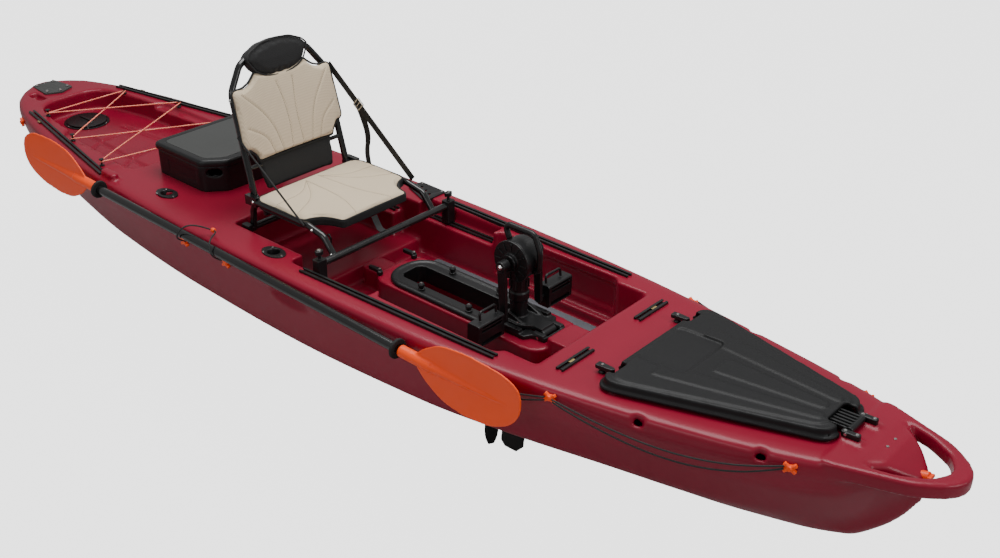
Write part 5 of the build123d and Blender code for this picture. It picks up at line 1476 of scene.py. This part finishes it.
@dataclass
class PedalDrive:
    """The tilting drive: mount, column, gear case, cranks, pedals, leg and propeller."""

    crank: Point = (0.606, 0.0, 0.428)
    case_half: float = 0.034

    def ribs(self) -> None:
        """Ribs round the gear case's cover and up the column."""
        x, _, z = self.crank
        spots = []
        for i in range(12):
            a = 2 * math.pi * i / 12
            spots.append(((x + 0.047 * math.cos(a), -self.case_half - 0.0095, z + 0.047 * math.sin(a)),
                          (math.cos(a), 0.0, math.sin(a))))
        REPEATS.run("gear_case_ribs", REPEATS.blocks(), [[p for p, _ in spots]], BLACK, "drive",
                    {"Size": (0.024, 0.0022, 0.0022)}, [f for _, f in spots])
        spots = [((x + 0.0285 * math.cos(a), 0.0285 * math.sin(a), 0.345), (0.0, 0.0, 1.0))
                 for a in [2 * math.pi * i / 10 for i in range(10)]]
        REPEATS.run("column_ribs", REPEATS.blocks(), [[p for p, _ in spots]], BLACK, "drive",
                    {"Size": (0.030, 0.0035, 0.0035)}, [f for _, f in spots])

    def screws(self) -> None:
        """The drive's visible screws and axle ends."""
        x, _, z = self.crank
        y = -self.case_half - 0.008
        around = [((x + 0.054 * math.cos(a), y - 0.0005, z + 0.054 * math.sin(a)), (0.0, -1.0, 0.0))
                  for a in [math.radians(30 + 60 * i) for i in range(6)]]
        screw_heads("gear_case_bolts", "drive", around, 0.0042, 0.003, TRACK, ("gear_case_screws",))
        for side, body in ((1, "cranks"), (-1, "starboard_arm")):
            screw_heads("axle_end_" + body, body, [((x, side * 0.0915, z), (0.0, float(side), 0.0))],
                        0.0085, 0.004)
        top = [((0.640, side * 0.044, 0.2388), UP) for side in (-1, 1)]
        screw_heads("drive_foot_screws", "drive", top, 0.0045)
        spots = [((px, side * 0.067, 0.2362), UP) for px in (0.590, 0.655) for side in (-1, 1)]
        screw_heads("drive_mount_screws", "boat", spots, 0.0055, 0.003, TRACK)

    def build(self) -> None:
        """Builds and dresses the whole drive."""
        for node, body, voxel, passes in (
                ("drive_mount", "boat", 0.0022, 3), ("drive_column", "drive", 0.0022, 3),
                ("gear_case", "drive", 0.0020, 3), ("gear_case_cover", "drive", 0.0018, 2),
                ("lower_unit", "drive", 0.0026, 3), ("propeller", "screw", 0.0018, 2),
                ("pedal_port", "pedal_port", 0.0012, 2), ("pedal_starboard", "pedal_starboard", 0.0012, 2),
                ("crank_arm_port", "cranks", 0.0018, 3), ("crank_arm_starboard", "starboard_arm", 0.0018, 3),
                ("drive_handle", "drive", 0.0018, 2)):
            softened(node, body, BLACK, voxel, passes)
        dressed("crank_axle", BRONZE)
        dressed("drive_shaft", STEEL)
        dressed("drive_pivot_pin", STEEL)
        self.ribs()
        self.screws()


# ------------------------------------------------------------------ seat


@dataclass
class Seat:
    """The framed seat: sling pads with sewn channels, bindings, straps and fittings."""

    hinge: Point = (-0.354, 0.0, 0.384)
    lean: float = math.radians(14.6)
    half: float = 0.230
    top: float = 0.399
    pad_voxel: float = 0.0045

    def back(self) -> Matrix:
        """The backrest's plane: local x to port, local y up the lean, local z forward."""
        s, c = math.sin(self.lean), math.cos(self.lean)
        x, _, z = self.hinge
        return Matrix(((0, -s, c, x), (1, 0, 0, 0), (0, c, s, z), (0, 0, 0, 1)))

    def pad(self, name: str, body: str, outline: Points, place: Matrix, low: float, high: float,
            seams: list[Points], node: str, finish: Finish, rise: float,
            cap: float = 0.007) -> bpy.types.Object:
        """Makes a sewn pad: inflated cloth with channels pressed into it.

        Args:
            name: The piece's name.
            body: The CAD body it rides on.
            outline: The pad's outline in its own plane.
            place: Where that plane lies.
            low: The pad's back, along the plane's normal.
            high: The pad's front.
            seams: Lines in the pad's plane that are sewn down.
            node: The CAD node it stands for.
            finish: Its finish.
            rise: How far the pad's middle stands off its edges.
            cap: The most that the cloth may move.

        Returns:
            The pad.
        """
        solid = prism(outline, low, high)
        solid = with_modifiers(solid, ("REMESH", {"mode": "VOXEL", "voxel_size": self.pad_voxel,
                                                  "use_smooth_shade": True}),
                               ("SMOOTH", {"factor": 0.5, "iterations": 4}))
        solid = self.inflated(solid, cap)
        solid = with_modifiers(solid, ("SUBSURF", {"levels": 1, "render_levels": 1}))
        mesh = solid.data
        co = points_of(mesh).astype(float)
        edge = self.distance(co[:, :2], [[*outline, outline[0]]])
        front = np.clip((co[:, 2] - (low + high) / 2) / ((high - low) / 2), -1, 1)
        swell = 1 - np.exp(-(edge / 0.05) ** 2)
        co[:, 2] += front * rise * swell
        if seams:
            near = self.distance(co[:, :2], seams)
            co[:, 2] -= 0.0024 * np.exp(-(near / 0.0045) ** 2) * np.clip(front, 0, 1)
        move_points(mesh, co)
        tree = BVHTree.FromPolygons([v.co.copy() for v in mesh.vertices],
                                    [tuple(p.vertices) for p in mesh.polygons])
        surface = [[q for q in (self.lifted(tree, p) for p in self.spread(path, 0.006)) if q]
                   for path in seams]
        mesh.transform(place)
        mesh.update()
        solid.name = name
        finished(solid, body, finish, (node,), 80)
        if seams:
            REPEATS.run(name + "_stitches", REPEATS.stitches(),
                        [[tuple(place @ Vector(p)) for p in path] for path in surface], THREAD, body,
                        {"Pitch": 0.0075, "Thread radius": 0.0008, "Run length": 0.0048})
        return solid

    def inflated(self, obj: bpy.types.Object, cap: float) -> bpy.types.Object:
        """Swells a pad with a short cloth simulation, no vertex moving further than cap. Returns it."""
        rest = points_of(obj.data)
        cloth = obj.modifiers.new("cloth", "CLOTH")
        cloth.settings.use_pressure = True
        cloth.settings.uniform_pressure_force = 4.0
        cloth.settings.effector_weights.gravity = 0.0
        scene = bpy.context.scene
        for number in range(1, 15):
            scene.frame_set(number)
        graph = bpy.context.evaluated_depsgraph_get()
        moved = points_of(obj.evaluated_get(graph).data)
        obj.modifiers.remove(cloth)
        scene.frame_set(1)
        step = moved - rest
        size = np.maximum(np.linalg.norm(step, axis=1, keepdims=True), 1e-9)
        step *= np.minimum(1.0, cap / size)
        move_points(obj.data, rest + step)
        return obj

    @staticmethod
    def spread(path: Points, pitch: float) -> Points:
        """Points at an even pitch along a path. Returns them."""
        out = []
        for a, b in zip(path, path[1:]):
            count = max(1, round(math.dist(a, b) / pitch))
            out += [tuple(Vector(a).lerp(Vector(b), i / count)) for i in range(count)]
        return [*out, tuple(path[-1])]

    @staticmethod
    def distance(where: np.ndarray, paths: list[Points]) -> np.ndarray:
        """Each point's distance in the plane to the nearest of some paths. Returns the distances."""
        best = np.full(len(where), 1e9)
        for path in paths:
            for p in Seat.spread(path, 0.005):
                best = np.minimum(best, (where[:, 0] - p[0]) ** 2 + (where[:, 1] - p[1]) ** 2)
        return np.sqrt(best)

    @staticmethod
    def lifted(tree: BVHTree, point: Point) -> Point:
        """A point of the plane raised to just above the pad's front. Returns it."""
        hit = tree.ray_cast(Vector((point[0], point[1], 0.9)), Vector((0, 0, -1)))[0]
        return (point[0], point[1], hit.z + 0.0003) if hit else ()

    def seat_outline(self, inset: float = 0.0) -> Points:
        """The seat pad's plan outline with its scooped front corners."""
        i, h = inset, self.half
        half = [(-0.332 + i, h - 0.020 - i), (-0.300, h - i), (-0.112, h - i), (-0.090 - i, h - 0.006 - i),
                (-0.082 - i, h - 0.034 - i), (-0.066 - i, h - 0.058 - i), (-0.036 - i, h - 0.076 - i),
                (0.004 - i, h - 0.088 - i)]
        return mirrored(half)

    def back_outline(self, inset: float = 0.0) -> Points:
        """The back pad's outline with its shoulder scoops and lower notches."""
        i = inset
        half = [(0.158 - i, 0.112 + i), (0.166 - i, 0.130), (0.184 - i, 0.150), (0.208 - i, 0.160 + i),
                (0.214 - i, 0.172), (0.208 - i, 0.345 - i), (0.196 - i, 0.354 - i), (0.162, 0.354 - i),
                (0.135, 0.364 - i), (0.116 - i, 0.380 - i), (0.104 - i, 0.392 - i), (0.040, 0.380 - i)]
        return [*half, *[(-x, y) for x, y in reversed(half)]]

    def build_base(self) -> None:
        """The seat pad, its edge band and its binding."""
        flat = Matrix.Identity(4)
        outline = rounded(self.seat_outline(0.001), 0.012, 3)
        fans = []
        for side in (-1, 1):
            for reach, spread in ((0.05, 0.165), (0.150, 0.110), (0.255, 0.060)):
                start, end = (-0.300, side * 0.028), (-0.300 + reach + 0.02, side * (self.half - 0.012))
                if reach > 0.2:
                    end = (0.000, side * spread * 1.35)
                middle = ((start[0] + end[0]) / 2 + 0.035, (start[1] + end[1]) / 2 - side * 0.018)
                fans.append(rounded([start, middle, end], 0.2, 12, False))
        self.pad("seat_pad", "seat", outline, flat, self.top - 0.022, self.top - 0.002, fans, "seat_cushion",
                 MESH, 0.003)
        outer, inner = (rounded(self.seat_outline(inset), 0.012, 3) for inset in (0.0, 0.0060))
        ring = combined([prism(outer, self.top - 0.030, self.top - 0.006)],
                        [prism(inner, self.top - 0.05, self.top + 0.02)])
        band = eased(ring, "seat_edge_band", 0.0026, 3)
        finished(band, "seat", FABRIC, (), 80)
        path = [(x, y, self.top - 0.0045) for x, y in rounded(self.seat_outline(0.003), 0.012, 3)]
        tube("seat_binding", "seat", [path], 0.0030, FABRIC, closed=True, sides=8)

    def build_back(self) -> None:
        """The back pad, its binding, the lumbar panel and the head pad."""
        place = self.back()
        outline = rounded(self.back_outline(-0.0015), 0.008, 3)
        seams = []
        for side in (-1, 1):
            for line in ([(0.062, 0.122), (0.090, 0.235), (0.178, 0.335)], [(0.098, 0.122), (0.120, 0.185),
                         (0.182, 0.225)], [(0.024, 0.122), (0.016, 0.235), (0.034, 0.345)]):
                seams.append(rounded([(side * x, y) for x, y in line], 0.2, 12, False))
        self.pad("back_pad", "backrest", outline, place, 0.008, 0.022, seams, "backrest_cushion", MESH,
                 0.004)
        path = [tuple(place @ Vector((x, y, 0.015))) for x, y in rounded(self.back_outline(0.0), 0.008, 3)]
        tube("back_binding", "backrest", [path], 0.0036, FABRIC, closed=True, sides=8)
        lumbar = rounded([(-0.144, 0.009), (0.144, 0.009), (0.156, 0.064), (0.160, 0.136), (-0.160, 0.136),
                          (-0.156, 0.064)], 0.008, 3)
        self.pad("lumbar_panel", "backrest", lumbar, place, -0.007, 0.006, [], "backrest_lumbar_panel",
                 FABRIC, 0.002, 0.004)
        edge = [(0.0, 0.482), (0.060, 0.476), (0.108, 0.456), (0.128, 0.436), (0.100, 0.392), (0.070, 0.375),
                (0.035, 0.366), (0.0, 0.363)]
        head = [*edge, *[(-x, y) for x, y in reversed(edge[1:-1])]]
        self.pad("head_pad", "backrest", rounded(head, 0.01, 3), place, -0.017, 0.026, [],
                 "backrest_head_pad", FABRIC, 0.003, 0.005)
        rim = [tuple(place @ Vector((x, y, 0.026))) for x, y in rounded(head, 0.01, 3)]
        tube("head_pad_piping", "backrest", [rim], 0.0028, FABRIC, closed=True, sides=8)

    def build_straps(self) -> None:
        """The side straps, the ladder buckle with its loose tail, and the front strap."""
        place = self.back()
        lug = place @ Vector((0.214, 0.345, 0.006))
        foot = Vector((-0.062, 0.236, 0.396))
        flat = [(-0.0008, -0.0125), (0.0008, -0.0125), (0.0008, 0.0125), (-0.0008, 0.0125)]
        path = [tuple(lug.lerp(foot, i / 16)) for i in range(17)]
        strap = swept(path, flat, UP, "back_strap_port")
        finished(strap, "seat", FABRIC, ("backrest_straps",), blend=("backrest", tuple(foot), tuple(lug)))
        low = place @ Vector((-0.212, 0.205, 0.0))
        end = Vector((-0.075, -0.238, 0.388))
        line = [tuple(low.lerp(end, i / 16)) for i in range(17)]
        tube("back_strap_starboard", "seat", [line], 0.0032, FABRIC, sides=10,
             blend=("backrest", tuple(end), tuple(low)))
        along = (foot - lug).normalized()
        spot = lug.lerp(foot, 0.36)
        normal = along.cross(Vector((0, 1, 0))).normalized()
        turn = Matrix((along, (0, 1, 0), normal)).transposed().to_4x4()
        at = Matrix.Translation(spot) @ turn
        frame_bars = []
        for x in (-0.014, 0.0, 0.014):
            bar = block(x - 0.0022, x + 0.0022, -0.003, 0.003, -0.018, 0.018)
            frame_bars.append(bar)
        for z in (-0.0165, 0.0165):
            frame_bars.append(block(-0.016, 0.016, -0.003, 0.003, z - 0.0022, z + 0.0022))
        for bar in frame_bars:
            bar.data.transform(at)
        buckle = eased(combined(frame_bars, []), "strap_buckle", 0.0009, 2)
        finished(buckle, "seat", STEEL, (), blend=("backrest", tuple(foot), tuple(lug)))
        tail = [spot, spot + Vector((0.012, 0.010, -0.05)), spot + Vector((0.030, 0.014, -0.11)),
                spot + Vector((0.020, 0.012, -0.17)), spot + Vector((0.034, 0.010, -0.225))]
        loose = swept(rounded([tuple(p) for p in tail], 0.03, 5, False), flat, (0.3, 0, 1), "strap_tail")
        finished(loose, "seat", FABRIC, (), blend=("backrest", tuple(foot), tuple(lug)))
        front = [(0.010, -0.017, 0.372), (0.022, -0.017, 0.352), (0.036, -0.017, 0.334),
                 (0.050, -0.017, 0.3305)]
        web = [(-0.0125, -0.0008), (0.0125, -0.0008), (0.0125, 0.0008), (-0.0125, 0.0008)]
        finished(swept(front, web, (0.4, 0, 1), "front_web"), "seat", FABRIC, ("seat_front_strap",))

    def build_fittings(self) -> None:
        """Bolts, knobs and the snap hook."""
        for node in ("seat_frame", "seat_bars"):
            dressed(node, TUBE)
        dressed("backrest_frame", TUBE)
        clamps = eased(node_copy("seat_rail_clamps"), "seat_rail_clamps_moulded", 0.0018, 3)
        for vertex in clamps.data.vertices:
            vertex.co.z = min(vertex.co.z, 0.366) + max(vertex.co.z - 0.366, 0.0) * 0.45
            if abs(vertex.co.x - 0.050) < 0.05:
                vertex.co.x = 0.050 + (vertex.co.x - 0.050) * 0.72
        finished(clamps, "seat", BLACK, ("seat_rail_clamps",))
        spots = []
        for side in (-1, 1):
            spots += [((-0.046, side * 0.2335, 0.379), (0.0, float(side), 0.0)),
                      ((0.040, side * 0.2335, 0.322), (0.0, float(side), 0.0)),
                      ((-0.330, side * 0.2325, 0.384), (0.0, float(side), 0.0)),
                      ((0.050, side * 0.290, 0.3655), UP)]
        screw_heads("seat_bolts", "seat", spots, 0.0062, 0.003)
        place = self.back()
        spots = [(tuple(place @ Vector((side * 0.2095, b, 0.004))), (0.25, float(side), 0.0))
                 for side in (-1, 1) for b in (0.325, 0.200)]
        screw_heads("back_bolts", "backrest", spots, 0.0055, 0.003)
        hook = [(-0.022 + 0.010 * math.cos(a) * (1 + 0.2 * math.sin(a)), -0.185, 0.332 + 0.024 * math.sin(a))
                for a in [2 * math.pi * i / 22 for i in range(22)]]
        tube("seat_snap_hook", "seat", [hook], 0.0028, TRACK, closed=True, sides=10)

    def build(self) -> None:
        """Builds the whole seat."""
        self.build_base()
        self.build_back()
        self.build_straps()
        self.build_fittings()


# ------------------------------------------------------------------ paddle


@dataclass
class Paddle:
    """The stowed paddle: shaft, drip rings and two dished blades."""

    y: float = -0.420
    front: Point = (0.512, 0.266)
    rear: Point = (-0.930, 0.307)
    radius: float = 0.015

    def blade(self, sign: int) -> bpy.types.Object:
        """One dished blade with its spine and socket. Returns a working object."""
        outline = [(0.052, -0.013), (0.090, -0.054), (0.160, -0.092), (0.240, -0.101), (0.335, -0.092),
                   (0.400, -0.062), (0.428, -0.020), (0.432, 0.030), (0.420, 0.070), (0.370, 0.094),
                   (0.250, 0.100), (0.150, 0.086), (0.086, 0.046), (0.052, 0.013)]
        face = prism(rounded(outline, 0.03, 4), -0.0028, 0.0028, XZ)
        socket = swept([(-0.001, 0, 0), (0.06, 0, 0), (0.12, 0, 0)], circle(0.0185, 20), UP)
        spine = loft([[(x, r * math.cos(a), 0.95 * r * math.sin(a)) for a in
                       [2 * math.pi * i / 16 for i in range(16)]] for x, r in
                      ((0.05, 0.0184), (0.11, 0.0165), (0.20, 0.0115), (0.30, 0.0075), (0.385, 0.0035))])
        body = eased(combined([face, socket, spine], []), "working", 0.0026, 3)
        mesh = body.data
        co = points_of(mesh)
        out = np.clip((co[:, 0] - 0.06) / 0.37, 0, 1)
        co[:, 1] += 0.010 * out ** 2 - 0.9 * out * co[:, 2] ** 2
        move_points(mesh, co)
        slope = math.atan2(self.front[1] - self.rear[1], self.front[0] - self.rear[0])
        end = self.front if sign > 0 else self.rear
        along = Vector((math.cos(slope), 0, math.sin(slope))) * 0.016 * sign
        start = Vector((end[0], self.y, end[1])) + along
        place = Matrix.Translation(start) @ Matrix.Rotation(-slope, 4, "Y")
        if sign < 0:
            place = place @ Matrix.Rotation(math.pi, 4, "Z")
        mesh.transform(place)
        return body

    def build(self) -> None:
        """Builds the paddle."""
        blades = [self.blade(1), self.blade(-1)]
        with bpy.context.temp_override(active_object=blades[0], selected_editable_objects=blades):
            bpy.ops.object.join()
        blades[0].name = "paddle_blades_dished"
        finished(blades[0], "boat", ORANGE, ("paddle_blades",), 80)
        a, b = Vector((self.rear[0], self.y, self.rear[1])), Vector((self.front[0], self.y, self.front[1]))
        tube("paddle_shaft_tube", "boat", [[tuple(a.lerp(b, i / 12)) for i in range(13)]], self.radius, TUBE,
             stands_for=("paddle_shaft",), sides=28)
        softened("paddle_drip_rings", "boat", RUBBER, 0.0016, 3)


# ------------------------------------------------------------------ studio


@dataclass
class Studio:
    """The pale floor, soft lights and camera."""

    lens: float = 45.71
    azimuth: float = 40.276
    elevation: float = 28.691
    roll: float = 1.109
    eye: Point = (2.694, -2.553, 2.158)
    room: float = 0.42

    def camera(self) -> None:
        """Places the camera."""
        az, el, turn = (math.radians(v) for v in (self.azimuth, self.elevation, self.roll))
        back = Vector((math.sin(az) * math.cos(el), -math.cos(az) * math.cos(el), math.sin(el)))
        right = Vector((math.cos(az), math.sin(az), 0))
        up = back.cross(right)
        across = right * math.cos(turn) + up * math.sin(turn)
        upward = up * math.cos(turn) - right * math.sin(turn)
        data = bpy.data.cameras.new("camera")
        data.lens = self.lens
        data.sensor_width = 36.0
        camera = linked("camera", data)
        facing = Matrix((across, upward, back)).transposed().to_4x4()
        camera.matrix_world = Matrix.Translation(self.eye) @ facing
        bpy.context.scene.camera = camera

    def lamp(self, name: str, place: Point, aim: Point, size: float, power: float) -> None:
        """Adds one soft area light."""
        data = bpy.data.lights.new(name, "AREA")
        data.shape = "RECTANGLE"
        data.size = size
        data.size_y = size * 0.6
        data.energy = power
        lamp = linked(name, data)
        away = Vector(place) - Vector(aim)
        lamp.matrix_world = Matrix.Translation(place) @ away.to_track_quat("Z", "Y").to_matrix().to_4x4()

    @staticmethod
    def pale() -> bpy.types.Material:
        """The floor's finish: near white to the eye and mid grey to the light it sends back. Returns it."""
        pale = bpy.data.materials.new("pale_floor")
        pale.use_nodes = True
        nodes, links = pale.node_tree.nodes, pale.node_tree.links
        shader = nodes["Principled BSDF"]
        shader.inputs["Base Color"].default_value = (0.42, 0.42, 0.42, 1)
        shader.inputs["Roughness"].default_value = 0.95
        glow = nodes.new("ShaderNodeEmission")
        glow.inputs["Strength"].default_value = 3.2
        sight = nodes.new("ShaderNodeLightPath")
        share = nodes.new("ShaderNodeMath")
        share.operation = "MULTIPLY"
        share.inputs[1].default_value = 0.82
        links.new(sight.outputs["Is Camera Ray"], share.inputs[0])
        both = nodes.new("ShaderNodeMixShader")
        links.new(share.outputs["Value"], both.inputs["Fac"])
        links.new(shader.outputs["BSDF"], both.inputs[1])
        links.new(glow.outputs["Emission"], both.inputs[2])
        links.new(both.outputs["Shader"], nodes["Material Output"].inputs["Surface"])
        return pale

    def build(self) -> None:
        """Builds the floor, the lights and the pale surroundings."""
        z = CAD_BOX[0].z - 0.002
        corners = [(-60, -60, z), (60, -60, z), (60, 60, z), (-60, 60, z)]
        floor = new_object("studio_floor", corners, [(0, 1, 2, 3)])
        floor.data.materials.append(self.pale())
        world = bpy.data.worlds.new("pale_room")
        world.use_nodes = True
        nodes, links = world.node_tree.nodes, world.node_tree.links
        sight = nodes.new("ShaderNodeLightPath")
        strength = nodes.new("ShaderNodeMapRange")
        strength.inputs["To Min"].default_value = self.room
        strength.inputs["To Max"].default_value = 1.6
        links.new(sight.outputs["Is Camera Ray"], strength.inputs["Value"])
        nodes["Background"].inputs["Color"].default_value = (1.0, 1.0, 1.0, 1)
        links.new(strength.outputs["Result"], nodes["Background"].inputs["Strength"])
        bpy.context.scene.world = world
        self.lamp("overhead", (0.0, 0.6, 4.2), (0.2, 0, 0.2), 4.2, 210)
        self.lamp("near_side", (0.5, -4.2, 2.6), (0.2, 0, 0.3), 2.6, 30)
        self.lamp("bow_side", (4.6, 0.4, 2.4), (0.6, 0, 0.3), 2.0, 40)


# ------------------------------------------------------------------ the whole boat


def main() -> None:
    """Builds the boat, piece by piece."""
    logging.basicConfig(level=logging.INFO, format="%(name)s: %(message)s")
    studio = Studio()
    studio.camera()
    Lines().build()
    studio.build()
    HullShell().build()
    BowHatch().build()
    DeckBox().build()
    DeckHardware().build()
    Tankwell().build()
    Cockpit().build()
    PedalDrive().build()
    Seat().build()
    Paddle().build()


if __name__ == "__main__":
    main()
